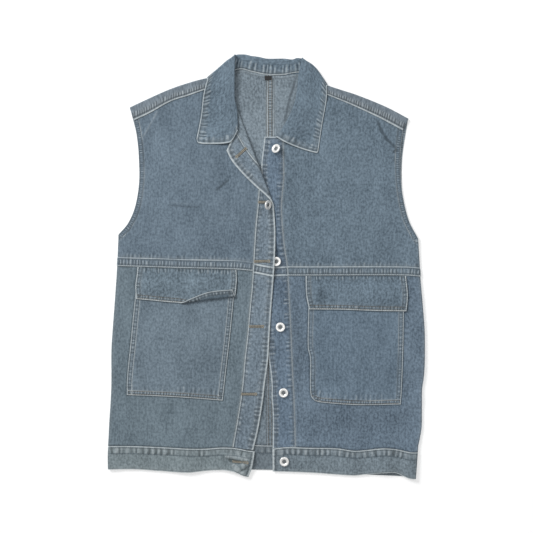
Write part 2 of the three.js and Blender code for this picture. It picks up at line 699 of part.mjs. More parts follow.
// Back halves. Each turns over its shoulder line and lies on the front as a strip, down to the
// shoulder seam. Rows past 1 are the turn and the strip.
const backLevel = (x, y) => DENIM / 2 + collarRise(x, y);
const SHOULDER_COLUMN = 0.76; // the columns up to it end at the shoulder, the others at the neck
const STRIP_COLUMN = 0.69; // the strips end here, under the collar
const TURN_ROWS = [1.02, 1.05, 1.08];
const TURN_END = 1.1;
const STRIP_END = 1.2;
const SHOULDER_TURN = 1.6;
function backHalf(name, { side, armhole, shoulder, neck, seam, hem, centre, level, outward }) {
  const topLine = joined(path(shoulder), path(neck), SHOULDER_COLUMN);
  const flat = panel(hem, topLine, joined(side, path(armhole), 0.62), centre);
  const seamLine = path(seam);
  const levelAt = sided(flat, 0, backLevel, BACK_SEAM_Z);
  const fromSide = (column) => (outward > 0 ? column : 1 - column);
  const columns = [...SIDE_COLUMNS, ...steps(0.2, SHOULDER_COLUMN, 7), 0.82, 0.88, 0.955, 0.965, 1];
  return cloth(name, INSIDE_BLUE, {
    us: outward > 0 ? columns : mirrored(columns),
    vs: [...steps(0, 0.56, 4), 0.59, 0.62, ...steps(0.69, 1, 5), ...TURN_ROWS, TURN_END, 1.15, 1.2],
    kept: (column, v) => v < 1 || fromSide(column) < STRIP_COLUMN,
    lift: (column, v) => (fromSide(column) > 0.96 && v < 1 ? FELL_LIFT : 0),
    place: (column, v) => {
      const u = fromSide(column);
      if (v <= 1) {
        const p = flat(u, v);
        return { ...p, z: levelAt(u, v)(p.x, p.y) };
      }
      const top = flat(u, 1);
      const share = u / SHOULDER_COLUMN;
      const landing = seamLine(share);
      const upper = (x, y) => level(DENIM)(x, y) + LAYER;
      const low = backLevel(top.x, top.y);
      const high = upper(top.x, top.y);
      if (v <= TURN_END) {
        const angle = (Math.PI * (v - 1)) / (TURN_END - 1);
        const out = SHOULDER_TURN * Math.sin(angle);
        const z = mix(low, high, (1 - Math.cos(angle)) / 2);
        return { x: top.x - out * 0.38 * outward, y: top.y + out * 0.92, z };
      }
      const down = (v - TURN_END) / (STRIP_END - TURN_END);
      const x = mix(top.x, landing.x, down);
      const y = mix(top.y, landing.y, down);
      return { x, y, z: mix(high, upper(x, y), smooth(0, 0.3, down)) };
    },
  });
}
group.add(
  backHalf("back_right", {
    side: alongY(rightSide, -322.7, 57, DENIM / 2),
    armhole: RIGHT_BACK_ARMHOLE,
    shoulder: RIGHT_SHOULDER,
    neck: RIGHT_BACK_NECK,
    seam: RIGHT_SHOULDER_SEAM,
    hem: alongX(backHemTop, rightSide(-323) + DENIM / 2, CENTRE_BACK_X - SEAM / 2, SEAM),
    centre: (t) => ({ x: CENTRE_BACK_X - SEAM / 2, y: mix(-323.7, 343.6, t) }),
    level: rightLevel,
    outward: 1,
  }),
);
group.add(
  backHalf("back_left", {
    side: alongY(leftSide, -333.7, 49, -DENIM / 2),
    armhole: LEFT_BACK_ARMHOLE,
    shoulder: LEFT_SHOULDER,
    neck: [...LEFT_BACK_NECK].reverse(),
    seam: [...LEFT_SHOULDER_SEAM].reverse(),
    hem: alongX(backHemTop, leftSide(-334) - DENIM / 2, CENTRE_BACK_X + SEAM / 2, SEAM),
    centre: (t) => ({ x: CENTRE_BACK_X + SEAM / 2, y: mix(-323.7, 343.6, t) }),
    level: leftLevel,
    outward: -1,
  }),
);

// Collar, one wall from the neck seam up to its roll line and down again to its outer edge. Its
// middle lies under the back, it turns over at both shoulders, and its leaves lie on the fronts.
const ROLL_RADIUS = 1;
const COLLAR_TURN = 3; // how far the turn at a shoulder reaches past its start, in plan
const RIGHT_LEAF = {
  rollLine: [
    { x: -51.5, y: 242.5 },
    { x: -52.2, y: 262 },
    { x: -53.5, y: 282.6 },
    { x: -57.2, y: 299.3 },
    { x: -57.6, y: 344.9 },
    { x: -56, y: 378 },
  ],
  outer: [
    { x: -124.9, y: 229.1 },
    { x: -116.6, y: 272.5 },
    { x: -112.5, y: 307.8 },
    { x: -105.5, y: 335.5 },
  ],
  bottom: [
    { x: -51.5, y: 242.5 },
    { x: -59.8, y: 226.8 },
    { x: -66.6, y: 221.4 },
    { x: -95.4, y: 219.6 },
    { x: -121.7, y: 221.4 },
    { x: -124.9, y: 229.1 },
  ],
  turn: [
    { x: -56, y: 378 },
    { x: -77.6, y: 359 },
    { x: -105.5, y: 335.5 },
  ],
  seam: [
    { x: -58.5, y: 224.6 },
    { x: -61.2, y: 271.8 },
    { x: -62.5, y: 300 },
    { x: -63, y: 336 },
    { x: -61, y: 349.5 },
  ],
};
const LEFT_LEAF = {
  rollLine: [
    { x: 18, y: 232.2 },
    { x: 22.9, y: 235 },
    { x: 33.3, y: 252 },
    { x: 41.4, y: 266.4 },
    { x: 52.2, y: 291.6 },
    { x: 57.6, y: 320.4 },
    { x: 60.1, y: 345.6 },
    { x: 66, y: 372.5 },
  ],
  outer: [
    { x: 94.1, y: 206.3 },
    { x: 101.3, y: 256 },
    { x: 108.7, y: 297.4 },
    { x: 109.5, y: 322.5 },
  ],
  bottom: [
    { x: 18, y: 232.2 },
    { x: 33.3, y: 223.2 },
    { x: 62.1, y: 211.5 },
    { x: 91.1, y: 203.4 },
    { x: 94.1, y: 206.3 },
  ],
  turn: [
    { x: 66, y: 372.5 },
    { x: 88, y: 353.5 },
    { x: 109.5, y: 322.5 },
  ],
  seam: [
    { x: 33, y: 233.5 },
    { x: 44, y: 248 },
    { x: 56, y: 268 },
    { x: 65, y: 290 },
    { x: 69, y: 320 },
    { x: 66, y: 346 },
  ],
};
const BACK_ROLL = [
  { x: -56, y: 378 },
  { x: -51.8, y: 379.8 },
  { x: -37.3, y: 379.9 },
  { x: -27, y: 377.5 },
  { x: -13.3, y: 375.7 },
  { x: 1.4, y: 372.5 },
  { x: 32.4, y: 372.5 },
  { x: 48.2, y: 371 },
  { x: 55.5, y: 373.6 },
  { x: 66, y: 372.5 },
];
const BACK_OUTER = [
  { x: -105.5, y: 335.5 },
  { x: -70, y: 321 },
  { x: -30, y: 314 },
  { x: 0, y: 312.6 },
  { x: 40, y: 313 },
  { x: 80, y: 317 },
  { x: 109.5, y: 322.5 },
];
const BACK_SEAM = [
  { x: -61, y: 349.5 },
  { x: -56, y: 352.6 },
  { x: -43, y: 354.4 },
  { x: -27, y: 350 },
  { x: 2, y: 344.2 },
  { x: 33, y: 344.4 },
  { x: 46, y: 347 },
  { x: 61, y: 348.6 },
  { x: 66, y: 346 },
];
const LEAVES = [
  { ...RIGHT_LEAF, level: rightLevel(DENIM), seamLine: rightShoulderSeam, facing: 1, seamOver: 3.8 + LAYER },
  { ...LEFT_LEAF, level: leftLevel(DENIM), seamLine: leftShoulderSeam, facing: -1, seamOver: LAYER + 0.9 },
].map((leaf) => {
  const { level, seamLine, seamOver } = leaf;
  const flat = panel(path(leaf.bottom), path(leaf.turn), path(leaf.rollLine), path(leaf.outer));
  const strip = (x, y) => smooth(-16, -3, y - seamLine(x)) * (LAYER + 0.6);
  const rise = (w) => (seamOver - LAYER + 2 * ROLL_RADIUS) * (1 - smooth(0.18, 0.66, w));
  const over = (x, y, w) => level(x, y) + LAYER + strip(x, y) + rise(w);
  return { ...leaf, flat, over, seamPath: path(leaf.seam) };
});
const RIGHT_LEAF_END = 0.32;
const RIGHT_TURN_END = 0.4;
const LEFT_TURN_START = 0.6;
const LEFT_LEAF_START = 0.68;
const backFlat = panel(
  path(BACK_OUTER),
  path(BACK_ROLL),
  path([...RIGHT_LEAF.turn].reverse()),
  path([...LEFT_LEAF.turn].reverse()),
);
const backSeam = path(BACK_SEAM);

// For station s: the fall's point at w (0 roll line, 1 outer edge), the seam's point, and two
// directions, `toSeam` from fall to seam side and `out` past the roll line.
function station(s) {
  const leafAt = (leaf, v) => ({
    fall: (w) => {
      const p = leaf.flat(w, v);
      return { ...p, z: leaf.over(p.x, p.y, w) };
    },
    seam: { ...leaf.seamPath(v), over: leaf.seamOver, leaf },
    toSeam: { x: 0, y: 0, z: -1 },
    out: { x: leaf.facing * (1 - smooth(0.8, 1, v)), y: smooth(0.8, 1, v), z: 0 },
  });
  const turnAt = (leaf, angle) => ({
    fall: (w) => {
      const p = leaf.flat(w, 1);
      const top = leaf.over(p.x, p.y, w);
      const reach = COLLAR_TURN * Math.sin(angle);
      const z = mix(top, DENIM / 2, (1 - Math.cos(angle)) / 2);
      return { x: p.x - leaf.facing * 0.7 * reach, y: p.y + 0.7 * reach, z };
    },
    seam: { ...leaf.seamPath(1), leaf, over: leaf.seamOver, turned: (1 - Math.cos(angle)) / 2 },
    toSeam: { x: leaf.facing * Math.sin(angle), y: 0, z: -Math.cos(angle) },
    out: { x: 0, y: 1, z: 0 },
  });
  const [right, left] = LEAVES;
  if (s < RIGHT_LEAF_END) return leafAt(right, s / RIGHT_LEAF_END);
  if (s < RIGHT_TURN_END)
    return turnAt(right, (Math.PI * (s - RIGHT_LEAF_END)) / (RIGHT_TURN_END - RIGHT_LEAF_END));
  if (s <= LEFT_TURN_START) {
    const t = (s - RIGHT_TURN_END) / (LEFT_TURN_START - RIGHT_TURN_END);
    return {
      fall: (w) => ({ ...backFlat(t, 1 - w), z: DENIM / 2 }),
      seam: { ...backSeam(t), turned: 1, z: DENIM / 2 + LAYER },
      toSeam: { x: 0, y: 0, z: 1 },
      out: { x: 0, y: 1, z: 0 },
    };
  }
  if (s <= LEFT_LEAF_START)
    return turnAt(left, (Math.PI * (LEFT_LEAF_START - s)) / (LEFT_LEAF_START - LEFT_TURN_START));
  return leafAt(left, (1 - s) / (1 - LEFT_LEAF_START));
}
const STAND_SHARE = 0.26;
const FALL_SHARE = 0.42;
function collarPlace(w, s) {
  const { fall, seam, toSeam, out } = station(s);
  if (w >= FALL_SHARE) return fall((w - FALL_SHARE) / (1 - FALL_SHARE));
  const edge = fall(0);
  const radius = mix(ROLL_RADIUS, LAYER / 2, seam.turned ?? 0);
  const middle = ["x", "y", "z"].map((axis) => edge[axis] + toSeam[axis] * radius);
  const rolled = (angle) =>
    ["x", "y", "z"].map(
      (axis, i) => middle[i] + radius * (Math.cos(angle) * toSeam[axis] + Math.sin(angle) * out[axis]),
    );
  let point;
  if (w >= STAND_SHARE) {
    point = rolled((Math.PI * (w - STAND_SHARE)) / (FALL_SHARE - STAND_SHARE));
  } else {
    const backZ = DENIM / 2 + LAYER;
    const frontZ = seam.leaf ? seam.leaf.level(seam.x, seam.y) + seam.over : backZ;
    const seamZ = mix(frontZ, backZ, seam.turned ?? 0);
    const start = [seam.x, seam.y, seamZ];
    const end = rolled(0);
    point = start.map((value, i) => mix(value, end[i], w / STAND_SHARE));
  }
  return { x: point[0], y: point[1], z: point[2] };
}
group.add(
  cloth("collar", DENIM_BLUE, {
    us: [0, 0.13, ...steps(STAND_SHARE, FALL_SHARE, 4), 0.5, 0.58, 0.67, 0.76, 0.86, 0.94, 1],
    vs: [
      ...steps(0, RIGHT_LEAF_END, 9),
      ...steps(0.34, RIGHT_TURN_END, 3),
      ...steps(0.415, LEFT_TURN_START, 12),
      ...steps(0.62, LEFT_LEAF_START, 3),
      ...steps(0.715, 1, 8),
    ],
    place: collarPlace,
  }),
);

// Neck label, a small plain tab on the back under the neck seam
group.add(
  cloth("neck_label", "#1c1c1e", {
    us: steps(-2.3, 9.7, 1).map((x) => x / 100),
    vs: steps(334.6, 342.4, 1).map((y) => y / 100),
    thickness: 0.8,
    place: (u, v) => ({ x: u * 100, y: v * 100, z: DENIM + LAYER + FELL_LIFT + 0.3 + 0.4 }),
  }),
);

// Patch pockets on the lower fronts
const onFront = (level, over) => (x, y) => level(x, y) + over;
const POCKET_OVER = LAYER;
function pocket(name, level, { bottom, top, left, right }) {
  const flat = panel(path(bottom), path(top), path(left), path(right));
  return cloth(name, DENIM_BLUE, {
    us: steps(0, 1, 9),
    vs: steps(0, 1, 8),
    place: onLevel(flat, onFront(level(DENIM), POCKET_OVER)),
  });
}
group.add(
  pocket("right_pocket", rightLevel, {
    bottom: [{ x: -250.4, y: -232.2 }, { x: -156.6, y: -236.3 }, { x: -78, y: -242.4 }],
    top: [{ x: -233.1, y: -30.6 }, { x: -55.3, y: -30.6 }],
    left: [
      { x: -250.4, y: -232.2 },
      { x: -249.8, y: -201.6 },
      { x: -242.6, y: -128.9 },
      { x: -236.3, y: -63 },
      { x: -233.1, y: -30.6 },
    ],
    right: [
      { x: -78, y: -242.4 },
      { x: -72.2, y: -190.8 },
      { x: -63.9, y: -118.8 },
      { x: -57.6, y: -54 },
      { x: -55.3, y: -30.6 },
    ],
  }),
  pocket("left_pocket", leftLevel, {
    bottom: [
      { x: 88, y: -243 },
      { x: 101.7, y: -245.9 },
      { x: 163.8, y: -250.2 },
      { x: 242.3, y: -249.3 },
    ],
    top: [{ x: 76.7, y: -39.6 }, { x: 248.9, y: -39.6 }],
    left: [
      { x: 88, y: -243 },
      { x: 81.2, y: -234.7 },
      { x: 79.4, y: -215.1 },
      { x: 79.4, y: -165.6 },
      { x: 75.4, y: -146.9 },
      { x: 76.3, y: -80.5 },
      { x: 76.7, y: -39.6 },
    ],
    right: [
      { x: 242.3, y: -249.3 },
      { x: 244.3, y: -225 },
      { x: 247.1, y: -146.9 },
      { x: 248, y: -82.8 },
      { x: 248.9, y: -39.6 },
    ],
  }),
);

// Pocket flaps. Each hangs from the waist seam and lies over its pocket. The right one's lower edge
// is turned up near its inner corner.
const FLAP_OVER = DENIM / 2 + REST + DOUBLED / 2;
function flap(name, level, { bottom, top, left, right, fold, pocketTop }) {
  const flat = panel(path(bottom), path(top), path(left), path(right));
  const over = (x, y) => {
    const onPocket = 1 - smooth(pocketTop + 1, pocketTop + 9, y);
    return level(DENIM)(x, y) + FLAP_OVER + LAYER * onPocket;
  };
  return cloth(name, BAND_BLUE, {
    us: [...steps(0, 0.9, 9), 0.94, 1],
    vs: [0, 0.04, 0.08, 0.12, 0.17, 0.23, 0.33, 0.45, 0.6, 0.72, 0.8, 0.9, 1],
    thickness: DOUBLED,
    place: (u, v) => {
      const p = flat(u, v);
      return fold ? fold.fold(p, over) : { ...p, z: over(p.x, p.y) };
    },
  });
}
group.add(
  flap("right_flap", rightLevel, {
    bottom: [
      { x: -233.6, y: -59.5 },
      { x: -208.8, y: -61.7 },
      { x: -178.2, y: -64.8 },
      { x: -156.8, y: -66.5 },
      { x: -136, y: -70.5 },
      { x: -99, y: -74.5 },
      { x: -56.7, y: -68.6 },
    ],
    top: [{ x: -231.3, y: -1.8 }, { x: -155, y: -4.5 }, { x: -53.1, y: -7 }],
    left: [{ x: -233.6, y: -59.5 }, { x: -234.9, y: -36 }, { x: -232.2, y: -12.6 }, { x: -231.3, y: -1.8 }],
    right: [{ x: -56.7, y: -68.6 }, { x: -54.5, y: -48.2 }, { x: -52.4, y: -25.2 }, { x: -53.1, y: -7 }],
    fold: roll({
      x0: -140,
      y0: -64.5,
      x1: -55,
      y1: -54,
      side: -1,
      radius: () => 1.5,
      settle: 10,
      lie: 2.7,
    }),
    pocketTop: -30.6,
  }),
  flap("left_flap", leftLevel, {
    bottom: [{ x: 77.4, y: -78.1 }, { x: 140.4, y: -78.8 }, { x: 199.3, y: -81 }, { x: 252.6, y: -81.5 }],
    top: [{ x: 71.5, y: -17.9 }, { x: 252, y: -17.9 }],
    left: [{ x: 77.4, y: -78.1 }, { x: 72.5, y: -53.1 }, { x: 71.5, y: -29.7 }, { x: 71.5, y: -17.9 }],
    right: [{ x: 252.6, y: -81.5 }, { x: 254.9, y: -53.1 }, { x: 252, y: -17.9 }],
    pocketTop: -39.6,
  }),
);

// Jacket buttons, a ring with a sunken middle and a short shank under it
const BUTTON = { diameter: 17, height: 3.2, hole: 7, dish: 1.6, shank: 6, stub: 1 };
const BUTTONS = [
  { x: 19.1, y: 210.2, tilt: 36, turn: 150, on: "left" },
  { x: 1.6, y: 109.6, tilt: 52, turn: -8, on: "right" },
  { x: 18.5, y: 8.1, tilt: 0, turn: 0, on: "left" },
  { x: 25.9, y: -110, tilt: 0, turn: 0, on: "left" },
  { x: 31.5, y: -228.2, tilt: 0, turn: 0, on: "left" },
  { x: 32.9, y: -351.7, tilt: 0, turn: 0, on: "left" },
];
BUTTONS.forEach(({ x, y, tilt, turn, on }, i) => {
  const r = BUTTON.diameter / 2;
  const { height, hole, dish, shank, stub } = BUTTON;
  const profile = [
    [0, 0],
    [shank / 2, 0],
    [shank / 2, stub],
    [r - 1.2, stub],
    [r, stub + 0.9],
    [r - 0.3, stub + height - 0.7],
    [r - 1.4, stub + height],
    [hole / 2 + 1, stub + height - 0.3],
    [hole / 2, stub + height - dish],
    [0, stub + height - dish],
  ].map(([radius, z]) => new THREE.Vector2(radius, z));
  const geometry = new THREE.LatheGeometry(profile, 16).rotateX(Math.PI / 2);
  geometry.rotateY((tilt * Math.PI) / 180).rotateZ((turn * Math.PI) / 180);
  const floor = on === "left" ? frontFloor(x, y) : rightFloor(x, y);
  const slope = (tilt * Math.PI) / 180;
  const lean = Math.max(
    (shank / 2) * Math.sin(slope),
    r * Math.sin(slope) - (stub + 0.9) * Math.cos(slope),
  );
  geometry.translate(x, y, floor + DOUBLED + 0.3 + lean);
  const metal = new THREE.MeshStandardMaterial({ color: "#c3c6c8", roughness: 0.3, metalness: 1 });
  const mesh = new THREE.Mesh(geometry, metal);
  mesh.name = `button_${i + 1}`;
  group.add(mesh);
});

export default group;
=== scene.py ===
"""A sleeveless denim jacket, laid flat and face up on a white table.

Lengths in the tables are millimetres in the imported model's frame: +X to the wearer's left, +Y from
the hem to the collar and +Z up from the table. "Right" and "left" are the wearer's. Every piece of
cloth is a thin closed shell round the middle of its solid.
"""
import math

import bpy
import numpy as np
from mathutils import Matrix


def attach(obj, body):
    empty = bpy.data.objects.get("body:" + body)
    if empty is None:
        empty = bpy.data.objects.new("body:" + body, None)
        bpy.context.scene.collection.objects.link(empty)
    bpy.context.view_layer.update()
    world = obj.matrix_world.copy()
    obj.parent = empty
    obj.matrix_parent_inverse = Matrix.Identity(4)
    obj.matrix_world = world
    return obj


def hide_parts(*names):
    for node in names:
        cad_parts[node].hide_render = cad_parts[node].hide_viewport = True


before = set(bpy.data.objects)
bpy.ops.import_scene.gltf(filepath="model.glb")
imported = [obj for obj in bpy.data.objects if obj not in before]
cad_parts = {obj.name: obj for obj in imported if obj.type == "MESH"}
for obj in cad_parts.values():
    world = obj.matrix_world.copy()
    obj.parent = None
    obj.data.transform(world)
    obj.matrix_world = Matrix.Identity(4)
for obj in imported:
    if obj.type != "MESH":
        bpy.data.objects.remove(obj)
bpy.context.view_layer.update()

# Table, light and camera. The garment lies on a plain white table under a large soft light, and the
# camera looks straight down on it.
MM = 0.001
VIEW_WIDTH = 959.4 * MM
CAMERA_HEIGHT = 2.2
CLOTH_HEIGHT = 0.005
SENSOR_WIDTH = 36
TABLE_REACH = 6
TABLE_DROP = 0.0006

scene = bpy.context.scene
scene.view_settings.view_transform = "Standard"
camera = bpy.data.objects.new("camera", bpy.data.cameras.new("camera"))
camera.location = (0.9 * MM, -0.9 * MM, CAMERA_HEIGHT + CLOTH_HEIGHT)
camera.data.sensor_width = SENSOR_WIDTH
camera.data.lens = SENSOR_WIDTH * CAMERA_HEIGHT / VIEW_WIDTH
scene.collection.objects.link(camera)
scene.camera = camera

world = bpy.data.worlds.new("soft white studio")
world.use_nodes = True
sky = world.node_tree.nodes["Background"]
sky.inputs["Color"].default_value = (1, 1, 1, 1)
sky.inputs["Strength"].default_value = 0.4
scene.world = world


def area_light(name, size, energy, place, towards):
    light = bpy.data.lights.new(name, "AREA")
    light.size = size
    light.energy = energy
    lamp = bpy.data.objects.new(name, light)
    lamp.location = place
    aim = np.array(towards, float) - np.array(place, float)
    lamp.rotation_euler = (math.acos(-aim[2] / np.linalg.norm(aim)), 0, math.atan2(-aim[0], aim[1]))
    scene.collection.objects.link(lamp)


area_light("window light", size=1.5, energy=98, place=(-2.2, 2.1, 2.6), towards=(0, 0, 0))
area_light("overhead light", size=1.1, energy=9, place=(0, 0, 2.7), towards=(0, 0.001, 0))


def new_material(name):
    material = bpy.data.materials.new(name)
    material.use_nodes = True
    tree = material.node_tree
    shader = tree.nodes["Principled BSDF"]
    return material, tree, shader


def mesh_object(name, points, faces, materials, picks=None):
    mesh = bpy.data.meshes.new(name)
    mesh.from_pydata([tuple(p) for p in points], [], [tuple(f) for f in faces])
    for material in materials:
        mesh.materials.append(material)
    if picks is not None:
        mesh.polygons.foreach_set("material_index", picks)
    mesh.polygons.foreach_set("use_smooth", [True] * len(mesh.polygons))
    mesh.update()
    made = bpy.data.objects.new(name, mesh)
    scene.collection.objects.link(made)
    return made


paper, paper_tree, paper_shader = new_material("white table")
paper_shader.inputs["Base Color"].default_value = (0.82, 0.82, 0.82, 1)
paper_shader.inputs["Roughness"].default_value = 0.9
paper_shader.inputs["Emission Color"].default_value = (1, 1, 1, 1)
paper_shader.inputs["Emission Strength"].default_value = 0.37
table_corners = [(-1, -1), (1, -1), (1, 1), (-1, 1)]
table_top = mesh_object(
    "table_top", [(TABLE_REACH * x, TABLE_REACH * y, -TABLE_DROP) for x, y in table_corners],
    [(0, 1, 2, 3)], [paper],
)

# The back, two halves of washed cotton denim that meet in a felled seam down the middle. The jacket
# lies on them. Each half turns over at the shoulder and is lapped on its front there as a strip.

# Thickness of one layer and of two, the gaps at seams and between layers, and heights of the sides.
DENIM = 1.2
DOUBLED = 2.2
SEAM = 0.3
REST = 0.5
LAYER = DENIM + REST
FELL_LIFT = 0.8
SIDE_Z = 3
SIDE_ROUND = 2.2
FRONT_Z = 2
FRONT_SEAM_Z = SIDE_Z + SEAM / 2
BACK_SEAM_Z = SIDE_Z - SEAM / 2
RIGHT_UNDERARM = 57
LEFT_UNDERARM = 49
THIRD_BUTTON = (18.5, 8.1)


def mix(a, b, t):
    return a + (b - a) * t


def smooth(low, high, t):
    s = np.clip((t - low) / (high - low), 0, 1)
    return s * s * (3 - 2 * s)


def off_line(x, y, x0, y0, x1, y1):
    """How far places lie from a straight line, and the share of it at which each is nearest."""
    reach = (x1 - x0) ** 2 + (y1 - y0) ** 2
    along = np.clip(((x - x0) * (x1 - x0) + (y - y0) * (y1 - y0)) / reach, 0, 1)
    return np.hypot(x - mix(x0, x1, along), y - mix(y0, y1, along)), along


def through(rows, key=0, value=1):
    """A smooth function through the rows of a table, from its column `key` to its column `value`."""
    places = np.array([row[key] for row in rows], float)
    values = np.array([row[value] for row in rows], float)
    last = len(places) - 1
    ahead = np.minimum(np.arange(last + 1) + 1, last)
    behind = np.maximum(np.arange(last + 1) - 1, 0)
    slope = (values[ahead] - values[behind]) / (places[ahead] - places[behind])

    def at(where):
        where = np.asarray(where, float)
        i = np.clip(np.searchsorted(places, where) - 1, 0, last - 1)
        h = places[i + 1] - places[i]
        s = (where - places[i]) / h
        t = np.clip(s, 0, 1)
        curve = values[i] * (1 + 2 * t) * (1 - t) ** 2 + values[i + 1] * t * t * (3 - 2 * t)
        curve = curve + slope[i] * h * t * (1 - t) ** 2 + slope[i + 1] * h * t * t * (t - 1)
        return curve + slope[i] * h * np.minimum(s, 0) + slope[i + 1] * h * np.maximum(s - 1, 0)

    return at


def path(points):
    """A smooth line in the plane through points, by its share of length."""
    points = np.array(points, float)
    run = np.concatenate([[0], np.cumsum(np.hypot(*np.diff(points, axis=0).T))])
    x = through(list(zip(run, points[:, 0])))
    y = through(list(zip(run, points[:, 1])))
    return lambda t: (x(t * run[-1]), y(t * run[-1]))


def joined(first, second, share):
    """Two lines end to end, the first up to `share`."""

    def at(t):
        before = first(np.minimum(t, share) / share)
        after = second((np.maximum(t, share) - share) / (1 - share))
        return tuple(np.where(np.asarray(t) <= share, a, b) for a, b in zip(before, after))

    return at


def along_x(f, x0, x1, dy=0.0):
    def at(t):
        x = mix(x0, x1, np.asarray(t, float))
        return x, f(x) + dy

    return at


def along_y(f, y0, y1, dx=0.0):
    def at(t):
        y = mix(y0, y1, np.asarray(t, float))
        return f(y) + dx, y

    return at


def panel(bottom, top, left, right):
    """The place at (u, v) of a panel between four edges. The ends of bottom and top are its corners."""

    def at(u, v):
        found = []
        for axis in (0, 1):
            bow = [edge(v)[axis] - mix(edge(0.0)[axis], edge(1.0)[axis], v) for edge in (left, right)]
            found.append(mix(bottom(u)[axis], top(u)[axis], v) + mix(bow[0], bow[1], u))
        return tuple(found)

    return at


# Outline. Rows of the sides are (y, x), rows of the other edges (x, y).
RIGHT_SIDE = [
    (-366, -285.5), (-340, -285.7), (-313, -284.4), (-277, -282.6), (-250, -280.8), (-214, -279.2),
    (-151, -279), (-120, -277.2), (-72, -273.6), (-7, -269.1), (29, -267.3), (57, -266.4),
]
LEFT_SIDE = [
    (-382, 270.5), (-342, 273.6), (-324, 274.7), (-308, 278.1), (-288, 281), (-250, 281.3),
    (-223, 281.5), (-203, 284.4), (-180, 286.2), (-151, 286.7), (-115, 286.2), (-79, 283.5),
    (-25, 279), (7, 277.2), (49, 274.7),
]
RIGHT_ARMHOLE = [
    (-265.8, 57), (-248.4, 78), (-235.8, 108), (-228.9, 150), (-229, 190), (-232.2, 230), (-239, 266),
]
LEFT_ARMHOLE = [(274.1, 49), (257.4, 82), (246.4, 128), (242.4, 170), (242.4, 206), (247, 248)]
RIGHT_SHOULDER = [(-245, 283.5), (-223, 294), (-175, 315.5), (-142, 327), (-106, 336.5), (-63, 346)]
LEFT_SHOULDER = [(256, 263.5), (216, 284.5), (162, 306.5), (111, 323), (68, 342)]
RIGHT_BACK_NECK = [(-62, 346), (-57, 350.4), (-43, 353.8), (-27, 349.4), (1.8, 343.6)]
LEFT_BACK_NECK = [(67, 341), (60, 345.4), (46, 345), (33, 342.9), (2.2, 343.6)]
RIGHT_SHOULDER_SEAM = [(-238, 262), (-207, 276.3), (-170, 297), (-138, 307.3), (-109, 317.5), (-62, 334)]
LEFT_SHOULDER_SEAM = [(66, 328), (115, 306), (149, 292.3), (184, 276.3), (214, 261.4), (246, 244.5)]
BACK_HEM_TOP = [(-290, -323), (-100, -323), (0, -324), (100, -326), (196, -330), (245, -333), (290, -335)]
CENTRE_BACK_X = 2

right_side = through(RIGHT_SIDE)
left_side = through(LEFT_SIDE)
right_shoulder_seam = through(RIGHT_SHOULDER_SEAM)
left_shoulder_seam = through(LEFT_SHOULDER_SEAM)
back_hem_top = through(BACK_HEM_TOP)

# Drape. Each row is a soft ridge, or where its height is negative a trough, along the line from
# (x0, y0) to (x1, y1), with its width and height. All the layers at a place share it.
FOLDS = [
    (-189, 290, -225, 230, 14, 2.2),
    (-209, 100, -92, 106, 18, 1.4),
    (-160, 200, -120, 40, 45, 2),
    (-110, 210, -80, 110, 24, 1.6),
    (-238, -100, -246, -290, 20, 1.8),
    (-150, -90, -150, -230, 50, 1.8),
    (-141, -300, -141, -380, 24, 3),
    (-66, -378, -30, -352, 13, 5),
    (204, 268, 213, 239, 11, 2),
    (213, 239, 240, 214, 11, 2),
    (110, 200, 160, 40, 50, 2.2),
    (266, -60, 270, -185, 24, 2.6),
    (279, -236, 232, -268, 14, 2.4),
    (165, -110, 165, -225, 50, 2.2),
    (90, -262, 66, -320, 18, 1.6),
    (214, -318, 217, -380, 21, 5),
    (258, -345, 264, -384, 13, 2.6),
]
CREASES = [
    (-186, 109.6, -111, 105.2, 3, -0.4),
    (-182, 114, -120, 109.6, 3, 0.25),
    (-94, 132, -63, 159, 3, -0.5),
    (-190, 288, -226, 224, 2.6, 0.36),
    (-203, 268, -231, 236, 7, -0.6),
    (-76, -341, -30, -347.5, 2.6, 1.8),
    (-70, -349, -40, -353, 2.6, -2),
    (-62, -356, -36, -378, 2.8, 2),
    (-50, -372, -30, -360, 2.6, -1.6),
    (-44, -346, -38, -372, 2.4, 1.2),
    (-120, 232, -60, 196, 16, 0.5),
    (-200, 20, -150, 34, 14, 0.4),
    (-262, -60, -250, -20, 7, -0.4),
    (60, 150, 44, 100, 12, 0.4),
    (70, 84, 48, 60, 7, -0.4),
    (199.5, 266, 210, 236, 2.8, -0.6),
    (204, 250, 219, 225, 2.8, -0.5),
    (212, 233, 238, 209, 2.8, -0.6),
    (55, 342, 40, 294, 3, -0.5),
    (43, 304, 32, 252, 3, -0.5),
    (228, 205, 239, 208, 2.6, -1.2),
    (220, 150, 180, 90, 16, 0.5),
    (262, -120, 268, -190, 5, -0.4),
    (112, -140, 96, -200, 9, 0.4),
    (-112, -274, -70, -282, 10, 0.4),
    (140, -272, 210, -286, 12, 0.4),
    (60, -180, 66, -236, 5, -0.4),
    (-208, -252, -180, -306, 12, 0.4),
]

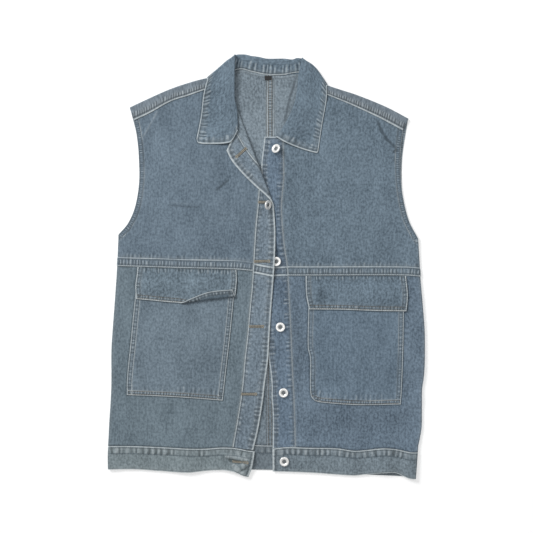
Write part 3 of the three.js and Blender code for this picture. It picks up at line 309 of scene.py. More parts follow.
# Places where the wash has left the dye paler, or where the amount is negative darker. Each row is a
# soft patch around (x, y), with its half width, half height and amount.
FADES = [
    (-196, 195, 40, 55, 0.35), (-140, 100, 42, 30, -0.35), (-92, 42, 60, 30, -0.4),
    (-120, 250, 40, 34, 0.2), (-222, 255, 20, 26, -0.35), (-215, 60, 30, 40, 0.25),
    (-75, 130, 26, 50, -0.25), (-40, 30, 14, 60, -0.3), (48, 150, 22, 60, -0.5),
    (200, 112, 34, 45, 0.4), (142, 130, 60, 24, -0.25), (120, 230, 50, 40, 0.15),
    (150, 20, 110, 24, -0.3), (222, 238, 18, 22, 0.35), (90, 60, 50, 30, 0.2), (62, -140, 12, 60, -0.6),
    (100, -284, 60, 22, -0.45), (210, -292, 50, 20, 0.2), (268, -130, 12, 90, 0.25),
    (264, -285, 16, 40, 0.3), (95, -59, 14, 12, -0.9), (225, -66, 16, 10, -0.8), (87, -44, 5, 28, 1.0),
    (194, -46, 34, 16, 0.5), (243, -45, 6, 28, 0.9), (-203, -48, 18, 12, -0.7),
    (-126, -32, 34, 14, 0.4), (-210, -18, 22, 8, -0.4), (-63, -25, 5, 18, 0.9),
    (-90, -212, 22, 24, 0.5), (-170, -120, 50, 60, 0.2), (-214, -70, 20, 40, -0.2),
    (-160, -222, 60, 12, 0.25), (120, -90, 40, 34, 0.25), (110, -225, 26, 16, 0.3),
    (170, -190, 60, 26, -0.35), (220, -120, 20, 60, 0.2), (-266, -170, 12, 120, -0.25),
    (-58, -180, 10, 90, -0.35), (-52, -290, 20, 40, -0.6), (-140, -285, 70, 26, 0.15),
    (-230, -285, 30, 24, -0.15), (-20, 60, 12, 60, -0.15), (-30, -170, 10, 60, 0.4),
    (22, 90, 12, 90, -0.35), (26, -70, 12, 60, -0.25), (30, -290, 14, 40, -0.15),
    (-160, -352, 80, 14, 0.3), (150, -352, 70, 14, 0.25), (236, -352, 30, 14, 0.35),
    (-50, -356, 18, 14, -0.45), (-96, 240, 14, 12, 0.5), (-78, 236, 10, 8, -0.5),
    (86, 222, 16, 10, 0.5), (60, 232, 14, 10, -0.35), (30, 300, 30, 40, 0.25), (-118, 228, 11, 10, 1.2),
    (90, 211, 9, 8, 0.9), (80, 300, 18, 34, 0.35), (46, 298, 6, 38, -0.6), (-84, 284, 20, 30, -0.15),
    (-244, 258, 12, 10, -0.5), (-232, 150, 7, 70, -0.4), (243, 160, 6, 60, -0.3),
    (-44, 310, 12, 40, 0.25), (0, 362, 50, 8, -0.15), (-6, -260, 14, 70, -0.45),
]


def fade(x, y):
    """How pale, or where it is negative how dark, the wash has left a place, -1 to 1."""
    shade = 0.0
    for x0, y0, wide, tall, amount in FADES:
        shade = shade + amount * np.exp(-(((x - x0) / wide) ** 2) - ((y - y0) / tall) ** 2)
    return np.clip(shade, -1, 1)


def drape(x, y):
    """The height that the folds and creases add at a place."""
    height = 0.0
    for x0, y0, x1, y1, width, rise in FOLDS + CREASES:
        away, _ = off_line(x, y, x0, y0, x1, y1)
        height = height + rise * np.exp(-((away / width) ** 2))
    return height


def crease_tone(x, y):
    """How far a place is rubbed pale on a small ridge, or, where it is negative, painted darker as shade in
    a small trough, -1 to 1.
    """
    tone = 0.0
    for x0, y0, x1, y1, width, rise in CREASES:
        away, along = off_line(x, y, x0, y0, x1, y1)
        ends = smooth(0, 0.25, along) * smooth(0, 0.25, 1 - along)
        tone = tone + rise * min(1, 3 / width) ** 2 * np.exp(-((away / width) ** 2)) * ends
    return np.clip(tone * 1.5, -1, 1)


def collar_rise(x, y):
    """The step up where the layers lie on the back of the collar."""
    return LAYER * smooth(280, 300, y) * (1 - smooth(124, 146, np.abs(x)))


SPRING = 2.4
SPRING_WIDTH = 22
BUTTON_HILL = 5
CLOSING = 26


def front_floor(x, y):
    """The height of the fronts' underside. They spring up at the sides and over the hem band."""
    hem_rise = (DOUBLED - DENIM) * (1 - smooth(-322, -306, y))
    in_from = np.minimum(x - right_side(y), left_side(y) - x)
    spring = SPRING * np.exp(-((in_from / SPRING_WIDTH) ** 2)) * (1 - smooth(40, 130, y))
    return FRONT_Z + drape(x, y) + spring + collar_rise(x, y + 12) + hem_rise


def right_floor(x, y):
    """The right front laps over the left band, less at the hem and not at the lapel, and rises over
    the third button."""
    over = smooth(-80, -38, x) * (1 - smooth(165, 225, y)) * mix(0.3, 1, smooth(-300, -185, y))
    hill = 1 - smooth(10, 36, np.hypot(x - THIRD_BUTTON[0] + 4, (y - THIRD_BUTTON[1]) * 0.8))
    return front_floor(x, y) + (DOUBLED + REST) * over + BUTTON_HILL * hill


def right_level(thickness):
    return lambda x, y: right_floor(x, y) + thickness / 2


def left_level(thickness):
    return lambda x, y: front_floor(x, y) + thickness / 2


def sided(flat, side, level, seam):
    """The level near a side, where a panel curves to the height of its seam up to the underarm."""

    def at(u, v, x, y):
        edge_x, edge_y = flat(side + 0 * u, v)
        inward = np.where(edge_x < 0, 1, -1)
        underarm = np.where(edge_x < 0, RIGHT_UNDERARM, LEFT_UNDERARM)
        closed = 1 - smooth(underarm - CLOSING, underarm, edge_y)
        away = np.clip((x - edge_x) * inward / SIDE_ROUND, 0, 1)
        bend = 1 - np.sqrt(np.maximum(0, 1 - (1 - away) ** 2))
        return mix(level(x, y), seam, bend * closed)

    return at


def on_side(flat, side, level, seam):
    level_at = sided(flat, side, level, seam)

    def place(u, v):
        x, y = flat(u, v)
        return x, y, level_at(u, v, x, y)

    return place


def on_level(flat, level):
    def place(u, v):
        x, y = flat(u, v)
        return x, y, level(x, y)

    return place


def shares_of(*parts):
    return np.unique(np.concatenate(parts))


def spread(length, step=2.2):
    """Shares from 0 to 1 along a length in mm, closer at both ends."""
    shares = np.linspace(0, length, max(2, int(round(length / step)) + 1)) / length
    near = np.array([0.25, 0.6, 1.1]) / length
    return shares_of(shares, near, 1 - near)


def beside(x, y, line):
    """Distance from a line of points, and how far along it the nearest place lies."""
    best = np.full(np.shape(x), 1e9)
    along = np.zeros(np.shape(x))
    run = 0.0
    for a, b in zip(line, line[1:]):
        reach = b - a
        length = math.hypot(*reach)
        if length < 1e-6:
            continue
        t = ((x - a[0]) * reach[0] + (y - a[1]) * reach[1]) / length**2
        inside = np.clip(t, 0, 1)
        away = np.hypot(x - a[0] - inside * reach[0], y - a[1] - inside * reach[1])
        near = away < best
        best = np.where(near, away, best)
        along = np.where(near, run + inside * length, along)
        run += length
    return best, along


def puckers(distance, along, pitch, reach, seed):
    """Uneven ridges and troughs square to a seam: their phase in turns, and their strength."""
    dice = np.random.default_rng(seed)
    knots = np.arange(0, along.max() + 3 * pitch, pitch * 0.8)
    wander = np.interp(along, knots, dice.uniform(-0.3, 0.3, len(knots)))
    size = np.interp(along, knots, dice.uniform(0.2, 1.15, len(knots)))
    length = reach * np.interp(along, knots, dice.uniform(0.6, 1.15, len(knots)))
    lean = np.interp(along, knots, dice.uniform(-0.15, 0.15, len(knots)))
    phase = (along + lean * distance) / pitch + wander
    return phase, size * (1 - smooth(0.45, 1.0, distance / length))


def line(start, end, pitch=6.0, reach=9.0, pucker=0.6, pale=((0, 1.0),), rows=(), begin=0.0,
         thread="blue", inner=False):
    """A sewn or folded line on a piece, from one place (u, v) to another. Its puckers have a pitch,
    a reach and a strength and are strongest at the distance `begin`, `pale` has (distance, width) of
    bleached lines beside it, and `rows` the distances of its rows of stitches. An `inner` line lies
    inside its piece and has rows on both sides."""
    return dict(
        start=start, end=end, pitch=pitch, reach=reach, pucker=pucker, pale=pale, rows=rows, begin=begin,
        thread=thread, inner=inner,
    )


SEAMS = 6
RELIEF = 0.32
# Painted shadow lines begin this far from the edge of what lies on a piece.
SHADOW_LINE_GAP = 1.1
FAR = 40.0
NUDGE = 1e-4
sewn = []


def surface(place, u, v):
    """The points of a piece's middle surface, and the way that it faces there."""
    middle = np.stack(place(u, v), -1)
    across = np.stack(place(u + NUDGE, v), -1) - np.stack(place(u - NUDGE, v), -1)
    along = np.stack(place(u, v + NUDGE), -1) - np.stack(place(u, v - NUDGE), -1)
    normal = np.cross(across, along)
    normal /= np.maximum(np.linalg.norm(normal, axis=-1, keepdims=True), 1e-12)
    return middle, normal


def sewing_marks(lay, x, y, lines, under, seed):
    """What sewing and washing left at x, y, and the shadow painted beside what lies on it: how far the
    puckers stand up, the distances from bleached edges and from the nearest of its rows of stitches and
    painted shadow lines, and for each line its puckers' phase, strength and distance."""
    worn = np.zeros(x.shape)
    edge = np.full(x.shape, FAR)
    row = np.full(x.shape, FAR)
    seams = []
    t = np.linspace(0, 1, 70)
    for number, mark in enumerate(lines):
        start, end = mark["start"], mark["end"]
        points = np.stack(lay(mix(start[0], end[0], t), mix(start[1], end[1], t)), -1)
        away, run = beside(x, y, points)
        phase, strength = puckers(
            np.abs(away - mark["begin"]), run, mark["pitch"], mark["reach"], seed * 31 + number
        )
        strength = strength * mark["pucker"]
        seams.append(np.stack([phase, strength, away], -1))
        worn += strength * np.sin(2 * math.pi * phase)
        for offset, width in mark["pale"]:
            edge = np.minimum(edge, np.abs(away - offset) / max(width, 1e-3))
        for offset in mark["rows"]:
            row = np.minimum(row, np.abs(away - offset))
    # Painted shadow: near each edge of what lies on this piece, the distance counts as a row, so a dark
    # line is drawn there.
    for casting_edge in under:
        away, _ = beside(x, y, np.stack(casting_edge(np.linspace(0, 1, 60)), -1))
        row = np.minimum(row, np.maximum(away - SHADOW_LINE_GAP, 0))
    return np.clip(worn, -1, 1), edge, row, seams


def from_edges(x, y):
    """How far each point of a grid lies from the grid's nearest edge, along its rows and columns."""
    along_row = np.hypot(np.diff(x, axis=1, prepend=x[:, :1]), np.diff(y, axis=1, prepend=y[:, :1]))
    along_column = np.hypot(np.diff(x, axis=0, prepend=x[:1]), np.diff(y, axis=0, prepend=y[:1]))
    to_left = np.cumsum(along_row, 1)
    to_foot = np.cumsum(along_column, 0)
    return np.minimum.reduce([to_left, to_left[:, -1:] - to_left, to_foot, to_foot[-1:] - to_foot])


def store(made, label, values):
    """Keep a number or a vector for each point of a piece, for its material to read."""
    flat_values = values.astype(np.float32)
    kind, field = ("FLOAT", "value") if values.ndim == 1 else ("FLOAT_VECTOR", "vector")
    made.data.attributes.new(label, kind, "POINT").data.foreach_set(field, flat_values.ravel())


def cloth(name, node, us, vs, place, lay, materials, lines=(), thickness=DENIM, kept=None, lift=None,
          up="outside", seed=1, under=()):
    """A closed shell of cloth. place(u, v) is its middle surface and lay(u, v) the same place in the
    cloth before it was folded. `lines` are its sewn and folded lines, `kept` picks the cells of its
    grid that exist, and `lift` raises its face. `up` says which side of the cloth the surface's normal
    comes out of, and `under` has the edges of what lies on it; a dark line of shadow is painted beside
    them."""
    sewn.append((place, lay, thickness / 2, lift, lines, (-1, 1) if up == "reverse" else (1,)))
    u, v = np.meshgrid(us, vs)
    middle, normal = surface(place, u, v)
    x, y = lay(u, v)
    worn, edge, row, seams = sewing_marks(lay, x, y, lines, under, seed)
    inset = from_edges(x, y)
    half = thickness / 2
    full = np.sqrt(1 - (1 - np.clip(inset / (half * 1.1), 0.02, 1)) ** 2)
    shift = RELIEF * worn * smooth(0.2, 1.6, inset)
    raised = 0.0 if lift is None else lift(u, v)
    high = middle + normal * (half * full + shift + raised)[..., None]
    low = middle + normal * (shift - half * full)[..., None]
    wide, count = len(us), u.size
    i, j = np.meshgrid(np.arange(wide - 1), np.arange(len(vs) - 1))
    chosen = np.ones(i.shape, bool)
    if kept is not None:
        chosen = kept((us[i] + us[i + 1]) / 2, (vs[j] + vs[j + 1]) / 2)
    i, j = i[chosen], j[chosen]
    ring = np.stack([j * wide + i, j * wide + i + 1, (j + 1) * wide + i + 1, (j + 1) * wide + i], 1)
    sides = np.concatenate([ring[:, [k, (k + 1) % 4]] for k in range(4)])
    code = sides[:, 0] * count + sides[:, 1]
    rim = sides[~np.isin(code, sides[:, 1] * count + sides[:, 0])]
    walls = np.stack([rim[:, 0], rim[:, 1], rim[:, 1] + count, rim[:, 0] + count], 1)
    faces = np.concatenate([ring + count, ring[:, ::-1], walls])
    used, order = np.unique(faces, return_inverse=True)
    faces = order.reshape(faces.shape)
    points = np.concatenate([low.reshape(-1, 3), high.reshape(-1, 3)])[used] * MM
    outside_high = up == "outside"
    picks = np.concatenate([
        np.full(len(ring), 0 if outside_high else 1),
        np.full(len(ring), 1 if outside_high else 0),
        np.full(len(walls), 0),
    ])
    made = mesh_object(name, points, faces, materials, picks.astype(np.int32))
    cloth_place = np.stack([x, y, np.zeros_like(x)], -1).reshape(-1, 3) * MM
    cloth_place = np.concatenate([cloth_place + [0, 0, 0.4 + seed], cloth_place + [0, 0, seed]])[used]
    store(made, "cloth", cloth_place)
    crease = crease_tone(middle[..., 0], middle[..., 1])
    shade = fade(middle[..., 0], middle[..., 1])
    for label, values in (("crease", crease), ("fade", shade), ("edge", edge), ("row", row)):
        store(made, label, np.tile(values.ravel(), 2)[used])
    for number, values in enumerate(seams):
        store(made, f"seam_{number}", np.tile(values.reshape(-1, 3), (2, 1))[used])
    x_span, y_span = x.max() - x.min(), y.max() - y.min()
    cells = np.abs(
        (x[:-1, 1:] - x[1:, :-1]) * (y[1:, 1:] - y[:-1, :-1])
        - (x[1:, 1:] - x[:-1, :-1]) * (y[:-1, 1:] - y[1:, :-1])
    ) / 2 * chosen
    made["cut"] = [x_span * MM, y_span * MM, min(cells.sum() * MM * MM, x_span * y_span * MM * MM)]
    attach(made, "root")
    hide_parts(node)
    return made


def tint(red, green, blue):
    """A colour given in the 0 to 255 steps of a screen."""
    steps = np.array([red, green, blue]) / 255
    linear = np.where(steps <= 0.04045, steps / 12.92, ((steps + 0.055) / 1.055) ** 2.4)
    return (*[float(value) for value in linear], 1.0)


def new_group(name, inputs, outputs):
    group = bpy.data.node_groups.new(name, "ShaderNodeTree")
    for label, kind, value in inputs:
        socket = group.interface.new_socket(label, in_out="INPUT", socket_type=kind)
        socket.default_value = value
    for label, kind in outputs:
        group.interface.new_socket(label, in_out="OUTPUT", socket_type=kind)
    return group, group.nodes.new("NodeGroupInput"), group.nodes.new("NodeGroupOutput")


def feed(tree, socket, value):
    if isinstance(value, bpy.types.NodeSocket):
        tree.links.new(value, socket)
    elif value is not None:
        socket.default_value = value


def maths(tree, operation, a, b=None):
    node = tree.nodes.new("ShaderNodeMath")
    node.operation = operation
    feed(tree, node.inputs[0], a)
    feed(tree, node.inputs[1], b)
    return node.outputs[0]


def times(tree, a, b):
    return maths(tree, "MULTIPLY", a, b)


def plus(tree, a, b):
    return maths(tree, "ADD", a, b)


def blended(tree, a, a_share, b, b_share):
    return plus(tree, times(tree, a, a_share), times(tree, b, b_share))


def ramp(tree, value, low, high, out_low=0.0, out_high=1.0):
    node = tree.nodes.new("ShaderNodeMapRange")
    node.interpolation_type = "SMOOTHSTEP"
    given = {"Value": value, "From Min": low, "From Max": high, "To Min": out_low, "To Max": out_high}
    for label in given:
        feed(tree, node.inputs[label], given[label])
    return node.outputs["Result"]


def blend(tree, share, a, b):
    node = tree.nodes.new("ShaderNodeMix")
    node.data_type = "RGBA"
    feed(tree, node.inputs[0], share)
    feed(tree, node.inputs[6], a)
    feed(tree, node.inputs[7], b)
    return node.outputs[2]


def grain(tree, vector, stretch, scale, detail=3.0, roughness=0.6):
    """Noise with its grains drawn out along the directions whose stretch is small."""
    mapping = tree.nodes.new("ShaderNodeMapping")
    mapping.inputs["Scale"].default_value = stretch
    tree.links.new(vector, mapping.inputs["Vector"])
    noise = tree.nodes.new("ShaderNodeTexNoise")
    noise.inputs["Scale"].default_value = scale
    noise.inputs["Detail"].default_value = detail
    noise.inputs["Roughness"].default_value = roughness
    tree.links.new(mapping.outputs["Vector"], noise.inputs["Vector"])
    return noise.outputs["Fac"]


def make_weave():
    group, given, made = new_group(
        "washed denim weave",
        [
            ("Cloth", "NodeSocketVector", (0, 0, 0)),
            ("Dark", "NodeSocketColor", (0.1, 0.1, 0.1, 1)),
            ("Light", "NodeSocketColor", (0.4, 0.4, 0.4, 1)),
            ("Fade", "NodeSocketFloat", 0.0),
        ],
        [("Color", "NodeSocketColor"), ("Height", "NodeSocketFloat")],
    )
    place = given.outputs["Cloth"]
    slub = grain(group, place, stretch=(1, 0.14, 1), scale=400, detail=2.0)
    mottle = grain(group, place, stretch=(1, 0.75, 1), scale=270, detail=2.0, roughness=0.65)
    cloud = grain(group, place, stretch=(1, 0.4, 1), scale=34)
    wide = grain(group, place, stretch=(1, 0.8, 1), scale=6, detail=2.0, roughness=0.5)
    fine = ramp(group, blended(group, slub, 0.32, mottle, 0.68), 0.33, 0.67)
    broad = ramp(group, blended(group, cloud, 0.6, wide, 0.4), 0.3, 0.7)
    share = blended(group, fine, 0.66, broad, 0.34)
    share = plus(group, share, times(group, given.outputs["Fade"], 0.24))
    colour = blend(group, share, given.outputs["Dark"], given.outputs["Light"])
    group.links.new(colour, made.inputs["Color"])
    twill = group.nodes.new("ShaderNodeTexWave")
    twill.wave_type = "BANDS"
    twill.bands_direction = "DIAGONAL"
    twill.inputs["Scale"].default_value = 300
    twill.inputs["Distortion"].default_value = 1.4
    group.links.new(place, twill.inputs["Vector"])
    height = plus(group, times(group, twill.outputs["Fac"], 0.35), slub)
    group.links.new(height, made.inputs["Height"])
    return group


def make_pucker_wave():
    group, given, made = new_group(
        "seam pucker", [("Seam", "NodeSocketVector", (0, 0, 0))], [("Wave", "NodeSocketFloat")]
    )
    parts = group.nodes.new("ShaderNodeSeparateXYZ")
    group.links.new(given.outputs["Seam"], parts.inputs[0])
    wave = maths(group, "SINE", times(group, parts.outputs[0], 2 * math.pi))
    group.links.new(times(group, wave, parts.outputs[1]), made.inputs["Wave"])
    return group


def make_wear_and_shade():
    group, given, made = new_group(
        "sewing wear and painted shade",
        [
            ("Cloth", "NodeSocketVector", (0, 0, 0)),
            ("Color", "NodeSocketColor", (0.2, 0.2, 0.2, 1)),
            ("Wear And Crease Shade", "NodeSocketFloat", 0.0),
            ("Edge", "NodeSocketFloat", 40.0),
            ("Stitch Rows And Shadows", "NodeSocketFloat", 40.0),
            ("Bleached", "NodeSocketColor", (0.5, 0.5, 0.5, 1)),
            ("Deep", "NodeSocketColor", (0.05, 0.05, 0.05, 1)),
            ("Edge Width", "NodeSocketFloat", 1.6),
            ("Edge Share", "NodeSocketFloat", 0.8),
        ],
        [("Color", "NodeSocketColor"), ("Height", "NodeSocketFloat")],
    )
    worn, edge, row = given.outputs["Wear And Crease Shade"], given.outputs["Edge"], given.outputs["Stitch Rows And Shadows"]
    bleached, deep = given.outputs["Bleached"], given.outputs["Deep"]
    patch = grain(group, given.outputs["Cloth"], stretch=(1, 1, 1), scale=130, roughness=0.65)
    rough = ramp(group, patch, 0.34, 0.62)
    patchy = plus(group, times(group, rough, 0.26), 0.14)
    ridge = times(group, ramp(group, worn, 0.1, 0.8), patchy)
    # Troughs darken towards deep: between the puckers the dye kept there, and in the creases painted shade.
    trough = times(group, ramp(group, worn, -0.05, -0.85), 0.68)
    near = maths(group, "DIVIDE", edge, given.outputs["Edge Width"])
    rubbed = plus(group, times(group, rough, 0.4), 0.6)
    bright = times(group, ramp(group, near, 0.4, 1.2, 1.0, 0.0), rubbed)
    halo = times(group, ramp(group, near, 1.0, 6.0, 1.0, 0.0), 0.1)
    # Painted shade: the sunken rows of stitches and the painted shadow lines beside what lies on the piece
    # are darkened towards deep and pressed into the bump.
    shade_line = ramp(group, row, 0.4, 1.7, 1.0, 0.0)
    # Painted shade: a dark line just beside each bleached line, as in the groove next to a raised edge.
    flank_shade = times(group, ramp(group, near, 0.9, 1.35), ramp(group, near, 1.45, 2.3, 0.48, 0.0))
    colour = given.outputs["Color"]
    for share, towards in (
        (trough, deep), (ridge, bleached), (times(group, shade_line, 0.42), deep), (halo, bleached),
        (flank_shade, deep), (times(group, bright, given.outputs["Edge Share"]), bleached),
    ):
        colour = blend(group, share, colour, towards)
    group.links.new(colour, made.inputs["Color"])
    height = maths(group, "SUBTRACT", times(group, worn, 0.5), times(group, shade_line, 0.7))
    group.links.new(height, made.inputs["Height"])
    return group


def attribute(tree, name, output="Fac"):
    node = tree.nodes.new("ShaderNodeAttribute")
    node.attribute_name = name
    return node.outputs[output]


weave = make_weave()
pucker_wave = make_pucker_wave()
sewing_wear_and_shade = make_wear_and_shade()
BLEACHED = tint(202, 211, 214)


def place_group(tree, group, values, links):
    """A node group placed in a material, with its own values and what it is linked to."""
    node = tree.nodes.new("ShaderNodeGroup")
    node.node_tree = group
    for label in values:
        node.inputs[label].default_value = values[label]
    for label in links:
        tree.links.new(links[label], node.inputs[label])
    return node


def denim(name, dye, contrast=0.8, edge_width=1.9, edge_share=0.68, bleached=BLEACHED):
    """Denim whose mean colour is dye, with its weave, its bleached folds, the wear of its seams and painted
    shade in its stitch rows, creases and beside what lies on it.
    """
    material, tree, shader = new_material(name)
    grey = sum(dye[:3]) / 3
    dark = tuple(mix(c, c * c / grey, 0.12) * (1 - 0.56 * contrast) for c in dye[:3])
    light = tuple(mix(c, grey, 0.12) * (1 + 0.54 * contrast) for c in dye[:3])
    # deep is the dark of the puckers' troughs and of the painted shade in stitch rows, creases and beside
    # edges.
    deep = tuple(c * 0.3 for c in dye[:3])
    cloth_vector = attribute(tree, "cloth", "Vector")
    threads = place_group(
        tree, weave, {"Dark": (*dark, 1), "Light": (*light, 1)},
        {"Cloth": cloth_vector, "Fade": attribute(tree, "fade")},
    )
    worn = attribute(tree, "crease")
    for number in range(SEAMS):
        wave = place_group(tree, pucker_wave, {}, {"Seam": attribute(tree, f"seam_{number}", "Vector")})
        worn = plus(tree, worn, wave.outputs["Wave"])
    wear = place_group(
        tree, sewing_wear_and_shade,
        {"Bleached": bleached, "Deep": (*deep, 1), "Edge Width": edge_width, "Edge Share": edge_share},
        {
            "Cloth": cloth_vector, "Color": threads.outputs["Color"], "Wear And Crease Shade": worn,
            "Edge": attribute(tree, "edge"), "Stitch Rows And Shadows": attribute(tree, "row"),
        },
    )
    height = plus(tree, times(tree, threads.outputs["Height"], 0.25), wear.outputs["Height"])
    bump = tree.nodes.new("ShaderNodeBump")
    bump.inputs["Strength"].default_value = 1.0
    bump.inputs["Distance"].default_value = 0.0005
    tree.links.new(height, bump.inputs["Height"])
    tree.links.new(wear.outputs["Color"], shader.inputs["Base Color"])
    tree.links.new(bump.outputs["Normal"], shader.inputs["Normal"])
    shader.inputs["Roughness"].default_value = 0.93
    shader.inputs["Specular IOR Level"].default_value = 0.18
    shader.inputs["Sheen Weight"].default_value = 0.1
    shader.inputs["Sheen Roughness"].default_value = 0.6
    return material


back_outside = denim("denim_back", tint(115, 127, 137), edge_width=1.5, edge_share=0.9)
reverse = denim("denim_reverse", tint(127, 141, 151), contrast=0.95, edge_width=1.2, edge_share=0.6)
SHOULDER_COLUMN = 0.76
STRIP_COLUMN = 0.68
TURN_END = 1.1
STRIP_END = 1.2
TURN_LENGTH = 120
TURN_OUT = 1.6
SIDE_SHARE = 0.62
CENTRE_FOOT = -323.7
CENTRE_TOP = 343.6


def back_level(x, y):
    return DENIM / 2 + collar_rise(x, y)


def back_half(side_of, side, armhole, shoulder, neck, seam, hem, centre_x, level, outward, lines, seed):
    top_line = joined(path(shoulder), path(neck), SHOULDER_COLUMN)
    side_line = joined(side, path(armhole), SIDE_SHARE)
    flat = panel(hem, top_line, side_line, lambda t: (centre_x + 0 * t, mix(CENTRE_FOOT, CENTRE_TOP, t)))
    seam_line = path(seam)
    level_at = sided(flat, 0, back_level, BACK_SEAM_Z)

    def from_side(column):
        return column if outward > 0 else 1 - column

    def lay(column, v):
        u = from_side(column)
        x, y = flat(u, np.minimum(v, 1))
        return x, y + np.maximum(v - 1, 0) * TURN_LENGTH

    def place(column, v):
        u = from_side(column)
        x, y = flat(u, np.minimum(v, 1))
        z = level_at(u, np.minimum(v, 1), x, y)
        top_x, top_y = flat(u, 1 + 0 * v)
        land_x, land_y = seam_line(u / SHOULDER_COLUMN)
        upper = lambda a, b: level(DENIM)(a, b) + LAYER
        low, high = back_level(top_x, top_y), upper(top_x, top_y)
        angle = math.pi * np.clip((v - 1) / (TURN_END - 1), 0, 1)
        out = TURN_OUT * np.sin(angle)
        turned = (top_x - out * 0.38 * outward, top_y + out * 0.92, mix(low, high, (1 - np.cos(angle)) / 2))
        down = np.maximum(v - TURN_END, 0) / (STRIP_END - TURN_END)
        strip_x, strip_y = mix(top_x, land_x, down), mix(top_y, land_y, down)
        strip = (strip_x, strip_y, mix(high, upper(strip_x, strip_y), smooth(0, 0.3, down)))
        return tuple(
            np.where(v <= 1, a, np.where(v <= TURN_END, b, c)) for a, b, c in zip((x, y, z), turned, strip)
        )

    columns = shares_of(
        [0, 0.0009, 0.002, 0.0036, 0.0055, 0.0078], np.linspace(0.012, STRIP_COLUMN, 66),
        np.linspace(STRIP_COLUMN, 1, 30),
    )
    rows = shares_of(
        np.linspace(0, SIDE_SHARE, 70), np.linspace(SIDE_SHARE, 1, 56), np.linspace(1, TURN_END, 7),
        np.linspace(TURN_END, STRIP_END, 13),
    )
    return cloth(
        "denim_back_" + side_of, "back_" + side_of,
        columns if outward > 0 else (1 - columns)[::-1],
        rows, place, lay, [back_outside, reverse], lines, up="reverse", seed=seed,
        kept=lambda column, v: (v < 1) | (from_side(column) < STRIP_COLUMN),
        lift=lambda column, v: FELL_LIFT * smooth(0.957, 0.962, from_side(column)) * (v < 0.999),
    )


def back_lines(outward, strip):
    """The felled centre seam in its upper and lower part, the armhole's hem, the strip's lap on the
    front, the neck seam and the side. Only one half of the back has the centre seam's strip."""
    rows = (2.6, 8.2) if strip else ()

    def at(u):
        return u if outward > 0 else 1 - u

    return [
        line((at(1), 0.4), (at(1), 1), 5, 6, strip, ((0, 0.8), (11, strip)), rows, 5.4, thread="tan"),
        line((at(1), 0), (at(1), 0.4), 5, 6, 0.3 * strip, (), rows, 5.4, thread="tan"),
        line((at(0), SIDE_SHARE), (at(0), 1), 3.8, 6, 0.7, ((0, 0.4), (9, 0.25)), (7.5,), 4),
        line((at(0), STRIP_END), (at(STRIP_COLUMN), STRIP_END), 4.9, 3.7, 1.8, ((0, 1.1),), (1.8,), 3.9),
        line((at(SHOULDER_COLUMN), 1), (at(1), 1), 5, 7, 0.4, ((3.5, 0.7),), (6,)),
        line((at(0), 0), (at(0), SIDE_SHARE), 8, 6, 0.25, ((0, 0.5),)),
    ]


back_right = back_half(
    "right", along_y(right_side, -322.7, RIGHT_UNDERARM, DENIM / 2), RIGHT_ARMHOLE[:-1] + [(-245, 283.5)],
    RIGHT_SHOULDER, RIGHT_BACK_NECK, RIGHT_SHOULDER_SEAM,
    along_x(back_hem_top, right_side(-323) + DENIM / 2, CENTRE_BACK_X - SEAM / 2, SEAM),
    CENTRE_BACK_X - SEAM / 2, right_level, 1, back_lines(1, 0), 1,
)
back_left = back_half(
    "left", along_y(left_side, -333.7, LEFT_UNDERARM, -DENIM / 2),
    LEFT_ARMHOLE[:3] + [(244.6, 170), (246.8, 206), (256, 263.5)],
    LEFT_SHOULDER, LEFT_BACK_NECK, LEFT_SHOULDER_SEAM[::-1],
    along_x(back_hem_top, left_side(-334) - DENIM / 2, CENTRE_BACK_X + SEAM / 2, SEAM),
    CENTRE_BACK_X + SEAM / 2, left_level, -1, back_lines(-1, 1), 2,
)

# The hem band at the back, a doubled strip of the same denim, sewn on over the lower edges of both
# halves. It is as long as the jacket is wide and lies on the table under the front ones.
BACK_HEM_FOOT = [
    (-290, -365), (-100, -367), (0, -367.6), (100, -371), (196, -376.8), (245, -379), (290, -382),
]
hem_flat = panel(
    along_x(through(BACK_HEM_FOOT), right_side(-366) + DOUBLED / 2, left_side(-380) - DOUBLED / 2),
    along_x(back_hem_top, right_side(-324) + DOUBLED / 2, left_side(-334) - DOUBLED / 2),
    along_y(right_side, -365, -323, DOUBLED / 2),
    along_y(left_side, -381, -334, -DOUBLED / 2),
)


def back_hem_place(u, v):
    side = np.where(u < 0.5, 0.0, 1.0)
    x, y = hem_flat(u, v)
    return x, y, sided(hem_flat, side, lambda a, b: DOUBLED / 2 + 0 * a, BACK_SEAM_Z)(u, v, x, y)


def band_lines(top_pucker=1.0):
    """Long puckers under the top edge down to its row of stitches, and bleached folds."""
    return [
        line((0, 1), (1, 1), 11, 10, top_pucker, ((0, 1.1),), (2, 13.5), 7.5),
        line((0, 0), (1, 0), 12, 4, 0.2, ((0, 0.8),)),
    ]


band_back = denim("denim_hem_back", tint(114, 126, 134), edge_width=1.3)
hem_back = cloth(
    "denim_hem_back", "hem_back",
    shares_of(spread(558, step=3), np.array([1.8, 2.4, 556.2, 555.6]) / 558),
    spread(43, step=2.2), back_hem_place, hem_flat, [band_back, band_back], band_lines(0.6),
    thickness=DOUBLED, seed=3,
)

